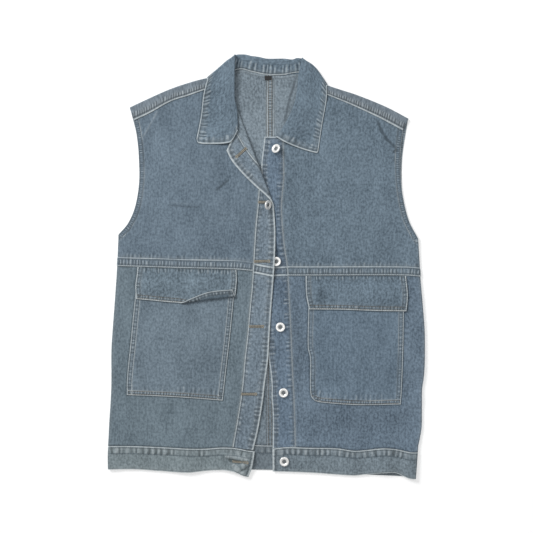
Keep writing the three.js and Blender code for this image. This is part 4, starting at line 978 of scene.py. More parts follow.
# The fronts' lower panels, a layer of washed denim each, from the waist seam down to the hem band.
# They are sewn to the back at the sides, and carry the pockets and, along their inner edge, a band.
RIGHT_WAIST = [(-290, 0.7), (-155, -3.6), (-54, -6.3), (-24, -9), (20, -15.5)]
LEFT_WAIST = [(-20, -15.5), (43, -17.1), (252, -17.1), (290, -20.5)]
RIGHT_HEM = [
    (-290, -324, -366.3), (-234, -324.6, -366.3), (-193, -326.2, -369), (-141, -328.6, -371.9),
    (-110, -329, -369), (-79, -327, -367.7), (-58, -327.8, -370), (-46, -329.4, -375.4),
    (-34, -332, -379.4), (-14, -334, -381),
]
LEFT_HEM = [
    (5, -330, -369.8), (37, -326.3, -370.6), (80, -327.4, -372.2), (128, -328.5, -375.6),
    (159, -332.8, -377.4), (180, -331.5, -375.3), (211, -327.8, -372.5), (233, -329.6, -372.4),
    (251, -333.5, -380), (261, -335.3, -383), (290, -335, -383.5),
]
# Rows of the front bands are (y, x of the seam, x of the folded edge).
RIGHT_BAND = [
    (-334, -61.5, -23.5), (-297, -54.9, -14.5), (-243, -46, -5.5), (-211, -42, -1.8), (-168, -38.2, 4.1),
    (-122, -33.1, 6.7), (-80, -29.4, 9.4), (-34, -24.9, 13), (5, -22.6, 15.6), (35, -20.9, 16.8),
    (70, -18.6, 16.8), (107, -14.9, 14.2), (128, -13.4, 13.6), (160, -11, 18.4), (190, -11, 21.2),
    (220, -13.6, 20.6), (241, -18, 15), (256, -21, 12),
]
LEFT_BAND = [
    (-331, 53, 11.7), (-285, 51.7, 12.2), (-259, 51, 11.5), (-234, 50, 9.8), (-217, 49, 10),
    (-192, 47.7, 8.1), (-172, 46.8, 5.4), (-120, 44.8, 2), (-60, 41.8, 0), (0, 38.2, -2.5),
    (36, 33, -4), (67, 29.9, -5), (108, 27.7, -6), (160, 31.9, -7.6), (181, 31.6, -8.6),
    (219, 30.8, -4.3), (233, 31, -2.9),
]
right_waist, left_waist = through(RIGHT_WAIST), through(LEFT_WAIST)
right_inner, right_edge = through(RIGHT_BAND, 0, 1), through(RIGHT_BAND, 0, 2)
left_inner, left_edge = through(LEFT_BAND, 0, 1), through(LEFT_BAND, 0, 2)
right_hem_top, right_hem_foot = through(RIGHT_HEM, 0, 1), through(RIGHT_HEM, 0, 2)
left_hem_top, left_hem_foot = through(LEFT_HEM, 0, 1), through(LEFT_HEM, 0, 2)
RIGHT_HEM_SIDE = float(right_side(-324)) + DENIM / 2
LEFT_HEM_SIDE = float(left_side(-334)) - DENIM / 2

# Outlines of the pockets and flaps. Their shadow is painted as a dark line beside them on what they lie on.
RIGHT_POCKET = dict(
    bottom=[(-250.4, -232.2), (-156.6, -236.3), (-78, -242.4)],
    top=[(-233.1, -30.6), (-55.3, -30.6)],
    left=[(-250.4, -232.2), (-249.8, -201.6), (-242.6, -128.9), (-236.3, -63), (-233.1, -30.6)],
    right=[(-78, -242.4), (-72.2, -190.8), (-63.9, -118.8), (-57.6, -54), (-55.3, -30.6)],
)
LEFT_POCKET = dict(
    bottom=[(88, -243), (101.7, -245.9), (163.8, -250.2), (242.3, -249.3)],
    top=[(76.7, -39.6), (248.9, -39.6)],
    left=[
        (88, -243), (81.2, -234.7), (79.4, -215.1), (79.4, -165.6), (75.4, -146.9), (76.3, -80.5),
        (76.7, -39.6),
    ],
    right=[(242.3, -249.3), (244.3, -225), (247.1, -146.9), (248, -82.8), (248.9, -39.6)],
)
RIGHT_FLAP = dict(
    bottom=[
        (-233.6, -59.5), (-208.8, -61.7), (-178.2, -64.8), (-156.8, -66.5), (-136, -70.5), (-99, -74.5),
        (-56.7, -68.6),
    ],
    top=[(-231.3, -1.8), (-155, -4.5), (-53.1, -7)],
    left=[(-233.6, -59.5), (-234.9, -36), (-232.2, -12.6), (-231.3, -1.8)],
    right=[(-56.7, -68.6), (-54.5, -48.2), (-52.4, -25.2), (-53.1, -7)],
)
LEFT_FLAP = dict(
    bottom=[(77.4, -78.1), (140.4, -78.8), (199.3, -81), (252.6, -81.5)],
    top=[(71.5, -17.9), (252, -17.9)],
    left=[(77.4, -78.1), (72.5, -53.1), (71.5, -29.7), (71.5, -17.9)],
    right=[(252.6, -81.5), (254.9, -53.1), (252, -17.9)],
)


def sides_of(shape, *names):
    """Some sides of an outline, as lines."""
    return [path(shape[name]) for name in names]


def ends_of(flat, *shares):
    """Lines across a panel, at some shares of its length."""
    return [lambda t, v=v: flat(t, v + 0 * t) for v in shares]


def lower_lines(side_u, band_u):
    """The side seam, the seam to the front band, the hem's seam and the waist seam."""
    return [
        line((side_u, 0), (side_u, 1), 9, 5, 0.3, ((0, 0.6),)),
        line((band_u, 0), (band_u, 1), 8, 4, 0.3, ((0, 0.5),)),
        line((0, 0), (1, 0), 9, 5, 0.3, ()),
        line((0, 1), (1, 1), 6, 5, 0.4, ()),
    ]


front_right_lower = denim("denim_right_lower", tint(110, 126, 136))
front_left_lower = denim("denim_left_lower", tint(105, 123, 139), contrast=1.0)
lower_right_flat = panel(
    along_x(right_hem_top, RIGHT_HEM_SIDE, -60.6, SEAM),
    along_x(right_waist, right_side(0) + DENIM / 2, right_inner(-9) - SEAM / 2, -SEAM),
    along_y(right_side, -323.7, 0.4, DENIM / 2),
    along_y(right_inner, -327.4, -9.3, -SEAM / 2),
)
right_front_lower = cloth(
    "denim_front_lower_right", "right_front_lower",
    shares_of(spread(224), [0.006, 0.0075, 0.009]), spread(325),
    on_side(lower_right_flat, 0, right_level(DENIM), FRONT_SEAM_Z), lower_right_flat,
    [front_right_lower, reverse], lower_lines(0, 1), seed=4,
    # Painted shadow lines on this panel beside the hem band, the waist seam, the pocket and the flap.
    under=ends_of(lower_right_flat, 0, 1) + sides_of(RIGHT_POCKET, "bottom", "left", "right")
    + sides_of(RIGHT_FLAP, "left") + [path(RIGHT_FLAP["right"][1:])],
)
lower_left_flat = panel(
    along_x(left_hem_top, 53.2, LEFT_HEM_SIDE, SEAM),
    along_x(left_waist, left_inner(-17) + SEAM / 2, left_side(-19) - DENIM / 2, -SEAM),
    along_y(left_inner, -326.4, -17.4, SEAM / 2),
    along_y(left_side, -335, -19.8, -DENIM / 2),
)
left_front_lower = cloth(
    "denim_front_lower_left", "left_front_lower",
    shares_of(spread(221), [0.994, 0.9925, 0.991]), spread(312),
    on_side(lower_left_flat, 1, left_level(DENIM), FRONT_SEAM_Z), lower_left_flat,
    [front_left_lower, reverse], lower_lines(1, 0), seed=5,
    # Painted shadow lines on this panel beside the hem band, the waist seam, the pocket and the flap.
    under=ends_of(lower_left_flat, 0, 1) + sides_of(LEFT_POCKET, "bottom", "left", "right")
    + sides_of(LEFT_FLAP, "left", "right"),
)

# The fronts' upper panels, lapped over the lower ones at the waist seam. The right one's top corner is
# rolled over as a lapel, on a line from the collar's corner to the second button.


def roll(x0, y0, x1, y1, side, radius, settle, lie):
    """Cloth beyond the line turns up and back round the radius, and settles on the cloth there."""
    length = math.hypot(x1 - x0, y1 - y0)
    tx, ty = (x1 - x0) / length, (y1 - y0) / length
    nx, ny = -ty * side, tx * side

    def split(x, y):
        along = (x - x0) * tx + (y - y0) * ty
        r = radius(np.clip(along / length, 0, 1))
        return along, r, (x - x0) * nx + (y - y0) * ny + r

    def fold(x, y, level):
        along, r, past = split(x, y)
        angle = np.clip(past / r, 0, math.pi)
        back = np.maximum(0, past - math.pi * r)
        offset = -r + r * np.sin(angle) - back
        rolled_x, rolled_y = x0 + tx * along + nx * offset, y0 + ty * along + ny * offset
        start = level(x0 + tx * along - nx * r, y0 + ty * along - ny * r)
        height = r * (1 - np.cos(angle))
        settled = smooth(0, settle, back)
        lying = mix(height, np.minimum(height, lie), settled)
        rolled_z = mix(start, level(rolled_x, rolled_y), settled) + lying
        rolled = past > 0
        return (
            np.where(rolled, rolled_x, x), np.where(rolled, rolled_y, y),
            np.where(rolled, rolled_z, level(x, y)),
        )

    return split, fold


lapel_split, lapel_fold = roll(
    -55.8, 293.4, 14.4, 106.2, side=1,
    radius=lambda t: 1.4 + 1.9 * np.sin(math.pi * np.maximum(0, t - 0.04)) ** 2, settle=14, lie=2.8,
)
UPPER_SIDE = 0.2
UPPER_BAND = 0.7
RIGHT_NECK = [(-21.2, 256), (-38, 281), (-55, 301), (-67, 319), (-77, 336)]
LEFT_NECK = [(31.2, 233), (38, 250), (50, 268), (60, 290), (67, 318), (70, 334)]
upper_right_flat = panel(
    along_x(right_waist, right_side(0) + DENIM / 2, right_inner(-9) - SEAM / 2),
    path([(-239, 266)] + [(x - 2, y + 7) for x, y in RIGHT_SHOULDER_SEAM[1:-1]] + [(-77, 336)]),
    joined(along_y(right_side, 0.7, RIGHT_UNDERARM, DENIM / 2), path(RIGHT_ARMHOLE), UPPER_SIDE),
    joined(along_y(right_inner, -9, 256, -SEAM / 2), path(RIGHT_NECK), UPPER_BAND),
)
upper_right_level = sided(upper_right_flat, 0, right_level(DENIM), FRONT_SEAM_Z)


def roll_column(v, past):
    """The share along row v at which the roll has `past` mm behind its start."""
    a, b = np.zeros(np.shape(v)), np.ones(np.shape(v))
    for _ in range(30):
        middle = (a + b) / 2
        short = lapel_split(*upper_right_flat(middle, v))[2] < past
        a, b = np.where(short, middle, a), np.where(short, b, middle)
    return a


ROLL_START = 0.72
ROLL_END = 0.88


def upper_right_lay(u, v):
    """Its columns gather at the roll: it lies between the shares ROLL_START and ROLL_END."""
    start = np.minimum(roll_column(v, 0), 0.92)
    end = np.minimum(roll_column(v, 9), mix(start, 1, 0.6))
    before = mix(0, start, u / ROLL_START)
    inside = mix(start, end, (u - ROLL_START) / 0.16)
    after = mix(end, 1, (u - ROLL_END) / 0.12)
    column = np.where(u <= ROLL_START, before, np.where(u <= ROLL_END, inside, after))
    return upper_right_flat(column, v)


def upper_right_place(u, v):
    x, y = upper_right_lay(u, v)
    return lapel_fold(x, y, lambda a, b: upper_right_level(u, v, a, b))


def front_lines(armhole_u, band_u):
    """The waist seam's two ridges, the armhole's hem, the side, the seam to the front band, the
    shoulder seam and the short puckers above the waist seam."""
    return [
        line((0, 0), (1, 0), 5.8, 8, 1.25, ((0, 1.4), (15.5, 0.6)), (2.2, 12.8), 7),
        line((armhole_u, UPPER_SIDE), (armhole_u, 1), 3.8, 5.5, 0.8, ((0, 0.4), (9, 0.3)), (2, 8), 5),
        line((armhole_u, 0), (armhole_u, UPPER_SIDE), 8, 5, 0.3, ((0, 0.5),)),
        line((band_u, 0), (band_u, UPPER_BAND), 8, 4, 0.3, ((0, 0.5),)),
        line((0, 1), (1, 1), 6, 14, 0.4, ()),
        line((0, 0), (1, 0), 7.5, 7, 0.6, (), (), 19),
    ]


RIGHT_COLLAR = dict(
    outer=[(-124.9, 229.1), (-116.6, 272.5), (-112.5, 307.8), (-105.5, 335.5)],
    bottom=[
        (-51.5, 242.5), (-59.8, 226.8), (-66.6, 221.4), (-95.4, 219.6), (-121.7, 221.4), (-124.9, 229.1),
    ],
)
LEFT_COLLAR = dict(
    outer=[(94.1, 206.3), (101.3, 256), (108.7, 297.4), (109.5, 322.5)],
    bottom=[(18, 232.2), (33.3, 223.2), (62.1, 211.5), (91.1, 203.4), (94.1, 206.3)],
)
front_right_upper = denim("denim_right_upper", tint(107, 124, 138))
front_left_upper = denim("denim_left_upper", tint(107, 125, 139), contrast=0.95)
right_front_upper = cloth(
    "denim_front_upper_right", "right_front_upper",
    shares_of(
        spread(240) * ROLL_START, [0.0054, 0.007], np.linspace(ROLL_START, ROLL_END, 15),
        np.linspace(ROLL_END, 1, 12), [0.995, 0.998],
    ),
    spread(345), upper_right_place, upper_right_lay, [front_right_upper, reverse],
    # Painted shadow lines on this panel beside the collar's edges.
    front_lines(0, 1), seed=6, under=sides_of(RIGHT_COLLAR, "bottom", "outer"),
    lift=lambda u, v: FELL_LIFT * (1 - smooth(-0.004, 0, v - mix(0.0545, 0.041, u))),
)
upper_left_flat = panel(
    along_x(left_waist, left_inner(-17) + SEAM / 2, left_side(-19) - DENIM / 2),
    path([(70, 334)] + [(x, y + 7) for x, y in LEFT_SHOULDER_SEAM[1:-1]] + [(247, 248)]),
    joined(along_y(left_inner, -17, 233, SEAM / 2), path(LEFT_NECK), UPPER_BAND),
    joined(along_y(left_side, -19.5, LEFT_UNDERARM, -DENIM / 2), path(LEFT_ARMHOLE), UPPER_SIDE),
)
left_front_upper = cloth(
    "denim_front_upper_left", "left_front_upper",
    shares_of(spread(235), [0.994, 0.9925, 0.991]), spread(350),
    on_side(upper_left_flat, 1, left_level(DENIM), FRONT_SEAM_Z), upper_left_flat,
    [front_left_upper, reverse], front_lines(1, 0),
    lift=lambda u, v: FELL_LIFT * (1 - smooth(0.04, 0.044, v)), seed=7,
    # Painted shadow lines on this panel beside the collar's edges.
    under=sides_of(LEFT_COLLAR, "bottom", "outer"),
)

# The hem bands at the front, doubled strips of denim sewn on over the lower panels. The right one ends in a
# curled, wrinkled corner under the front band's last buttonhole.


def hem_lines(end_u, side_u, pale):
    """The band's own lines, its sewn end at the front and its side."""
    return band_lines() + [
        line((end_u, 0), (end_u, 1), 7, 9, 0.8, ((0, pale),), (6,)),
        line((side_u, 0), (side_u, 1), 8, 4, 0.2, ((0, 0.5),)),
    ]


band_right = denim("denim_hem_right", tint(126, 139, 144), contrast=0.86, edge_share=0.95)
band_left = denim("denim_hem_left", tint(118, 132, 141), contrast=1.05, edge_share=0.95)
hem_right_flat = panel(
    along_x(right_hem_foot, right_side(-366) + DOUBLED / 2, -31.5),
    along_x(right_hem_top, right_side(-324) + DOUBLED / 2, -20),
    along_y(right_side, -366.3, -324, DOUBLED / 2),
    path([(-31.5, -379), (-25, -362), (-20, -334)]),
)
hem_right = cloth(
    "denim_hem_right", "hem_right", shares_of(spread(262, step=1.8), [0.007, 0.009]),
    spread(43, step=1.6), on_side(hem_right_flat, 0, right_level(DOUBLED), FRONT_SEAM_Z),
    hem_right_flat, [band_right, band_right], hem_lines(1, 0, 2.0), thickness=DOUBLED, seed=8,
)
hem_left_flat = panel(
    along_x(left_hem_foot, 12, left_side(-383) - DOUBLED / 2),
    along_x(left_hem_top, 11.6, left_side(-335) - DOUBLED / 2),
    path([(12, left_hem_foot(12)), (11.6, left_hem_top(11.6))]),
    along_y(left_side, -383, -335.2, -DOUBLED / 2),
)
hem_left = cloth(
    "denim_hem_left", "hem_left", shares_of(spread(260, step=1.8), [0.993, 0.991]),
    spread(43, step=1.6), on_side(hem_left_flat, 1, left_level(DOUBLED), FRONT_SEAM_Z),
    hem_left_flat, [band_left, band_left], hem_lines(0, 1, 1.8), thickness=DOUBLED, seed=9,
)

# The front bands, doubled strips with the buttonholes on the right and the buttons on the left. The
# right one rolls back with the lapel at its top, so its rows slant from the seam down to the fold.
BAND_SLANT = [
    (-326.6, -331.8), (-200, -201), (-9, -12), (60, 40), (120, 72), (172, 104), (203, 135), (230, 186),
    (256, 240),
]
band_slant = through(BAND_SLANT)


def right_band_lay(u, v):
    seam_y = mix(-326.6, 256, v)
    edge_y = band_slant(seam_y)
    return mix(right_inner(seam_y) + SEAM / 2, right_edge(edge_y), u), mix(seam_y, edge_y, u)


def right_band_place(u, v):
    x, y = right_band_lay(u, v)
    return lapel_fold(x, y, right_level(DOUBLED))


placket_right = denim(
    "denim_band_right", tint(118, 134, 147), contrast=1.0, edge_width=2.5, edge_share=0.95
)
placket_left = denim(
    "denim_band_left", tint(105, 124, 142), contrast=1.0, edge_width=2.1, edge_share=0.8
)
right_placket = cloth(
    "denim_band_right", "right_placket", spread(38, step=1.5), spread(583, step=1.7),
    right_band_place, right_band_lay, [placket_right, placket_right],
    [
        line((1, 0), (1, 1), 8.5, 9, 0.95, ((0, 1.3),), (7,), 6),
        line((0, 0), (0, 1), 8.5, 7, 0.7, ((0, 0.55),), (3,), 4),
        line((0, 1), (1, 1), 8, 8, 0.5, ((0, 1.2),)),
        line((0, 0.5545), (1, 0.548), 6, 8, 1.0, ((7, 0.7),), (4.5,), inner=True),
    ],
    thickness=DOUBLED, seed=10,
)
left_band_flat = panel(
    along_x(left_hem_top, 12, 53, SEAM),
    along_x(lambda x: 233 + 0 * x, -2.9, 31 - SEAM / 2),
    along_y(left_edge, left_hem_top(12) + SEAM, 233),
    along_y(left_inner, left_hem_top(53) + SEAM, 233, -SEAM / 2),
)
left_placket = cloth(
    "denim_band_left", "left_placket", spread(39, step=1.5), spread(561, step=1.8),
    on_level(left_band_flat, lambda x, y: front_floor(x, y) + DOUBLED / 2), left_band_flat,
    [placket_left, placket_left],
    [
        line((0, 0), (0, 1), 8.5, 9, 0.95, ((0, 1.2),), (7,), 6),
        line((1, 0), (1, 1), 8.5, 8, 0.75, ((0, 0.5),), (3,), 5),
        line((0, 1), (1, 1), 8, 6, 0.5, ((0, 1.2),), (4,)),
        line((0, 0.565), (1, 0.567), 6, 8, 1.0, ((7, 0.8),), (4.5,), inner=True),
    ],
    # A painted shadow line on this band beside the right band's edge.
    thickness=DOUBLED, seed=11, under=[along_y(right_edge, -331, 100)],
)

# The patch pockets on the lower panels, single denim with their edges folded under and sewn down
# with two rows of stitches at the sides and along the bottom.


def patch_pocket(side_of, level, dye, shape, flap_edge, seed):
    flat = panel(*sides_of(shape, "bottom", "top", "left", "right"))
    material = denim("denim_pocket_" + side_of, dye, contrast=0.84, edge_share=0.76)
    made = cloth(
        "denim_pocket_" + side_of, side_of + "_pocket", spread(172), spread(206),
        on_level(flat, lambda x, y: level(DENIM)(x, y) + LAYER), flat, [material, reverse],
        [
            line((0, 0), (0, 1), 7, 6, 0.75, ((0, 1.0), (9, 0.25)), (2, 7.5), 4.5),
            line((1, 0), (1, 1), 7, 6, 0.75, ((0, 1.0), (9, 0.25)), (2, 7.5), 4.5),
            line((0, 0), (1, 0), 5.2, 5, 1.15, ((0, 1.1), (8.5, 0.3)), (2, 7.5), 4.6, thread="tan"),
            line((0, 0), (1, 0), 9, 11, 0.55, (), (), 13),
        ],
        # A painted shadow line on the pocket beside the flap's lower edge.
        seed=seed, under=[path(flap_edge)],
    )
    return made


right_pocket = patch_pocket(
    "right", right_level, tint(110, 126, 138), RIGHT_POCKET, RIGHT_FLAP["bottom"][:5], 12
)
left_pocket = patch_pocket(
    "left", left_level, tint(107, 126, 142), LEFT_POCKET, LEFT_FLAP["bottom"], 13
)

# The pocket flaps, doubled, caught in the waist seam and loose over the pockets. The right one's
# lower edge is turned up near its inner corner.
FLAP_OVER = DENIM / 2 + REST + DOUBLED / 2


def pocket_flap(side_of, level, dye, shape, turned, pocket, seed):
    flat = panel(*sides_of(shape, "bottom", "top", "left", "right"))
    pocket_top = pocket["top"][0][1]

    def over(x, y):
        """The flap lies on the panel, and below the pocket's top edge on the pocket too."""
        return level(DENIM)(x, y) + FLAP_OVER + LAYER * (1 - smooth(pocket_top + 1, pocket_top + 9, y))

    def place(u, v):
        x, y = flat(u, v)
        return (x, y, over(x, y)) if turned is None else turned(x, y, over)

    material = denim("denim_flap_" + side_of, dye, contrast=1.15, edge_width=2.2, edge_share=0.9)
    # The flaps' underside is painted dark, as the shade under the right flap's turned-up edge.
    shaded_underside = denim("denim_flap_under_shaded_" + side_of, tint(86, 101, 112), edge_width=1.6)
    made = cloth(
        "denim_flap_" + side_of, side_of + "_flap", spread(180, step=1.7), spread(62, step=1.2),
        place, flat, [material, shaded_underside],
        [
            line((0, 0), (0, 1), 7, 6, 0.75, ((0, 1.1), (9, 0.25)), (2, 7.5), 5),
            line((1, 0), (1, 1), 7, 6, 0.75, ((0, 1.1), (9, 0.25)), (2, 7.5), 5),
            line((0, 0), (1, 0), 6.4, 5, 1.1, ((0, 1.2),), (2, 7.5), 5, thread="tan"),
            line((0, 1), (1, 1), 6, 12, 0.8, ()),
        ],
        # A painted shadow line on the flap beside the waist seam over its top.
        thickness=DOUBLED, seed=seed, under=ends_of(flat, 1),
    )
    return made


_, flap_fold = roll(
    -140, -64.5, -55, -54, side=-1, radius=lambda t: 1.5 + 0 * t, settle=10, lie=2.7
)
right_flap = pocket_flap(
    "right", right_level, tint(108, 125, 137), RIGHT_FLAP, flap_fold, RIGHT_POCKET, 14
)
left_flap = pocket_flap(
    "left", left_level, tint(103, 121, 135), LEFT_FLAP, None, LEFT_POCKET, 15
)

# The collar, one doubled leaf of denim on a stand sewn to the neck. Its middle lies under the back,
# it turns over at both shoulders, and its two points lie open on the fronts.
ROLL_RADIUS = 1
COLLAR_TURN = 3
LEAVES = {
    "right": dict(
        roll_line=[
            (-51.5, 242.5), (-52.2, 262), (-53.5, 282.6), (-57.2, 299.3), (-57.6, 344.9), (-56, 378),
        ],
        **RIGHT_COLLAR,
        turn=[(-56, 378), (-77.6, 359), (-105.5, 335.5)],
        seam=[(-58.5, 224.6), (-61.2, 271.8), (-62.5, 300), (-63, 336), (-61, 349.5)],
        level=right_level(DENIM), seam_line=right_shoulder_seam, facing=1, seam_over=3.8 + LAYER,
    ),
    "left": dict(
        roll_line=[
            (18, 232.2), (22.9, 235), (33.3, 252), (41.4, 266.4), (52.2, 291.6), (57.6, 320.4),
            (60.1, 345.6), (66, 372.5),
        ],
        **LEFT_COLLAR,
        turn=[(66, 372.5), (88, 353.5), (109.5, 322.5)],
        seam=[(33, 233.5), (44, 248), (56, 268), (65, 290), (69, 320), (66, 346)],
        level=left_level(DENIM), seam_line=left_shoulder_seam, facing=-1, seam_over=LAYER + 0.9,
    ),
}
BACK_ROLL = [
    (-56, 378), (-51.8, 379.8), (-37.3, 379.9), (-27, 377.5), (-13.3, 375.7), (1.4, 372.5), (32.4, 372.5),
    (48.2, 371), (55.5, 373.6), (66, 372.5),
]
BACK_OUTER = [(-105.5, 335.5), (-70, 321), (-30, 314), (0, 312.6), (40, 313), (80, 317), (109.5, 322.5)]
BACK_SEAM = [
    (-61, 349.5), (-56, 352.6), (-43, 354.4), (-27, 350), (2, 344.2), (33, 344.4), (46, 347), (61, 348.6),
    (66, 346),
]
for leaf in LEAVES.values():
    leaf["flat"] = panel(*sides_of(leaf, "bottom", "turn", "roll_line", "outer"))
    leaf["seam_path"] = path(leaf["seam"])
back_flat = panel(
    path(BACK_OUTER), path(BACK_ROLL),
    path(LEAVES["right"]["turn"][::-1]), path(LEAVES["left"]["turn"][::-1]),
)
back_seam = path(BACK_SEAM)


def leaf_over(leaf, x, y, w):
    """The height of a leaf's middle, over the shoulder's strip and up on the roll."""
    strip = smooth(-16, -3, y - leaf["seam_line"](x)) * (LAYER + 0.6)
    rise = (leaf["seam_over"] - LAYER + 2 * ROLL_RADIUS) * (1 - smooth(0.18, 0.66, w))
    return leaf["level"](x, y) + LAYER + strip + rise


def collar_part(leaf, w, v, angle):
    """A leaf's station v, or its turn at the shoulder by `angle`: fall, seam, to_seam, out, turned."""
    x, y = leaf["flat"](w, v)
    top = leaf_over(leaf, x, y, w)
    turned = (1 - np.cos(angle)) / 2
    reach = COLLAR_TURN * np.sin(angle) * mix(0.2, 1, smooth(0, 0.35, w))
    facing = leaf["facing"]
    fall = np.stack([x - facing * 0.7 * reach, y + 0.7 * reach, mix(top, DENIM / 2, turned)], -1)
    seam_x, seam_y = leaf["seam_path"](v)
    front_z = leaf["level"](seam_x, seam_y) + leaf["seam_over"]
    seam = np.stack([seam_x, seam_y, mix(front_z, DENIM / 2 + LAYER, turned)], -1)
    to_seam = np.stack([facing * np.sin(angle), 0 * angle, -np.cos(angle)], -1)
    bowed = np.where(angle > 0, 1.0, smooth(0.8, 1, v))
    out = np.stack([facing * (1 - bowed), bowed, 0 * bowed], -1)
    return fall, seam, to_seam, out, turned


def collar_back(w, t):
    """The same five things for the middle of the collar, which lies under the back."""
    x, y = back_flat(t, 1 - w)
    seam_x, seam_y = back_seam(t)
    one = np.ones_like(x)
    fall = np.stack([x, y, DENIM / 2 * one], -1)
    seam = np.stack([seam_x + 0 * x, seam_y + 0 * x, (DENIM / 2 + LAYER) * one], -1)
    return fall, seam, np.stack([0 * x, 0 * x, one], -1), np.stack([0 * x, one, 0 * x], -1), one


STAND_SHARE = 0.26
FALL_SHARE = 0.42
RIGHT_END, RIGHT_TURN, LEFT_TURN, LEFT_START = 0.32, 0.4, 0.6, 0.68
COLLAR_LENGTH = 470.0
STAND_LENGTH = 32
FALL_LENGTH = 62


def half_turn(share):
    return math.pi * np.clip(share, 0, 1) + 1e-9


def collar_station(w, s):
    """What collar_part gives at the share s along the whole collar, from its right end to its left."""
    w, s = np.broadcast_arrays(np.asarray(w, float), np.asarray(s, float))
    zero = np.zeros_like(s)
    right, left = LEAVES["right"], LEAVES["left"]
    right_angle = half_turn((s - RIGHT_END) / (RIGHT_TURN - RIGHT_END))
    left_angle = half_turn((LEFT_START - s) / (LEFT_START - LEFT_TURN))
    on_right_turn = (s >= RIGHT_END) & (s < RIGHT_TURN)
    on_back = (s >= RIGHT_TURN) & (s <= LEFT_TURN)
    on_left_turn = (s > LEFT_TURN) & (s <= LEFT_START)
    parts = [
        (s < RIGHT_END, collar_part(right, w, s / RIGHT_END, zero)),
        (on_right_turn, collar_part(right, w, 1 + zero, right_angle)),
        (on_back, collar_back(w, (s - RIGHT_TURN) / (LEFT_TURN - RIGHT_TURN))),
        (on_left_turn, collar_part(left, w, 1 + zero, left_angle)),
        (s > LEFT_START, collar_part(left, w, (1 - s) / (1 - LEFT_START), zero)),
    ]
    found = []
    for k in range(5):
        value = 0.0
        for chosen, part in parts:
            mask = chosen[..., None] if k < 4 else chosen
            value = value + np.where(mask, part[k], 0.0)
        found.append(value)
    return found


def collar_place(w, s):
    past = np.maximum(0, (w - FALL_SHARE) / (1 - FALL_SHARE))
    fall, seam, to_seam, out, turned = collar_station(past, s)
    edge = collar_station(0 * past, s)[0]
    radius = mix(ROLL_RADIUS, LAYER / 2, turned)[..., None]
    middle = edge + to_seam * radius
    angle = math.pi * np.clip((w - STAND_SHARE) / (FALL_SHARE - STAND_SHARE), 0, 1)[..., None]
    rolled = middle + radius * (np.cos(angle) * to_seam + np.sin(angle) * out)
    stand = mix(seam, middle + radius * to_seam, np.clip(w / STAND_SHARE, -1, 1)[..., None])
    on_fall, on_roll = (w >= FALL_SHARE)[..., None], (w >= STAND_SHARE)[..., None]
    point = np.where(on_fall, fall, np.where(on_roll, rolled, stand))
    return point[..., 0], point[..., 1], point[..., 2]


def collar_lay(w, s):
    """The collar as cut: a straight strip, with the seam at its foot."""
    fall = STAND_LENGTH + (w - FALL_SHARE) / (1 - FALL_SHARE) * FALL_LENGTH
    return np.where(w < FALL_SHARE, w / FALL_SHARE * STAND_LENGTH, fall), s * COLLAR_LENGTH


collar_denim = denim("denim_collar", tint(105, 123, 137), contrast=1.0, edge_width=2.2, edge_share=0.9)
collar = cloth(
    "denim_collar", "collar",
    shares_of(
        np.linspace(0, STAND_SHARE, 16), np.linspace(STAND_SHARE, FALL_SHARE, 9),
        np.linspace(FALL_SHARE, 1, 34), [0.9965, 0.992, 0.987, 0.978],
    ),
    shares_of(
        [0, 0.0006, 0.0014, 0.0026], np.linspace(0.005, RIGHT_END, 64),
        np.linspace(RIGHT_END, RIGHT_TURN, 12), np.linspace(RIGHT_TURN, LEFT_TURN, 60),
        np.linspace(LEFT_TURN, LEFT_START, 12), np.linspace(LEFT_START, 0.995, 64),
        [0.9974, 0.9986, 0.9994, 1],
    ),
    collar_place, collar_lay, [collar_denim, collar_denim],
    [
        line((1, 0), (1, 1), 8.5, 10, 1.1, ((0, 1.2),), (6.5,), 8),
        line((FALL_SHARE, 0), (1, 0), 9, 10, 0.9, ((0, 1.4),), (6.5,), 8),
        line((FALL_SHARE, 1), (1, 1), 9, 10, 0.9, ((0, 1.4),), (6.5,), 8),
        line((0, 0), (0, 1), 5.4, 12, 1.1, ((0, 0.7),), (2,), 5),
    ],
    seed=16,
)

# The neck label, a small loop of plain black woven tape, folded in two. Its ends are caught in the
# neck seam at the middle of the back, and it hangs down inside.
label_cloth, label_tree, label_shader = new_material("label_black")
label_threads = grain(
    label_tree, attribute(label_tree, "cloth", "Vector"), stretch=(1, 1, 1), scale=1400, detail=2.0
)
label_tree.links.new(
    blend(label_tree, label_threads, tint(22, 22, 24), tint(48, 48, 50)), label_shader.inputs["Base Color"]
)
label_shader.inputs["Roughness"].default_value = 0.7


def label_lay(u, v):
    return mix(-2.3, 9.7, u), mix(334.6, 342.4, v)


neck_label = cloth(
    "neck_label_tab", "neck_label", spread(12, step=1), spread(8, step=1),
    lambda u, v: (*label_lay(u, v), DENIM + LAYER + FELL_LIFT + 0.7 + 0 * u), label_lay,
    [label_cloth, label_cloth], thickness=0.8, seed=17,
)

# The sewing, rows of cotton stitches along the seams and hems, in blue thread that has faded with the
# cloth. The lower edges of the pockets and flaps and the back's middle seam have tan thread.
STITCH = 3.0
GAP = 0.9
THREAD = 0.75
END_CLEAR = 2.0


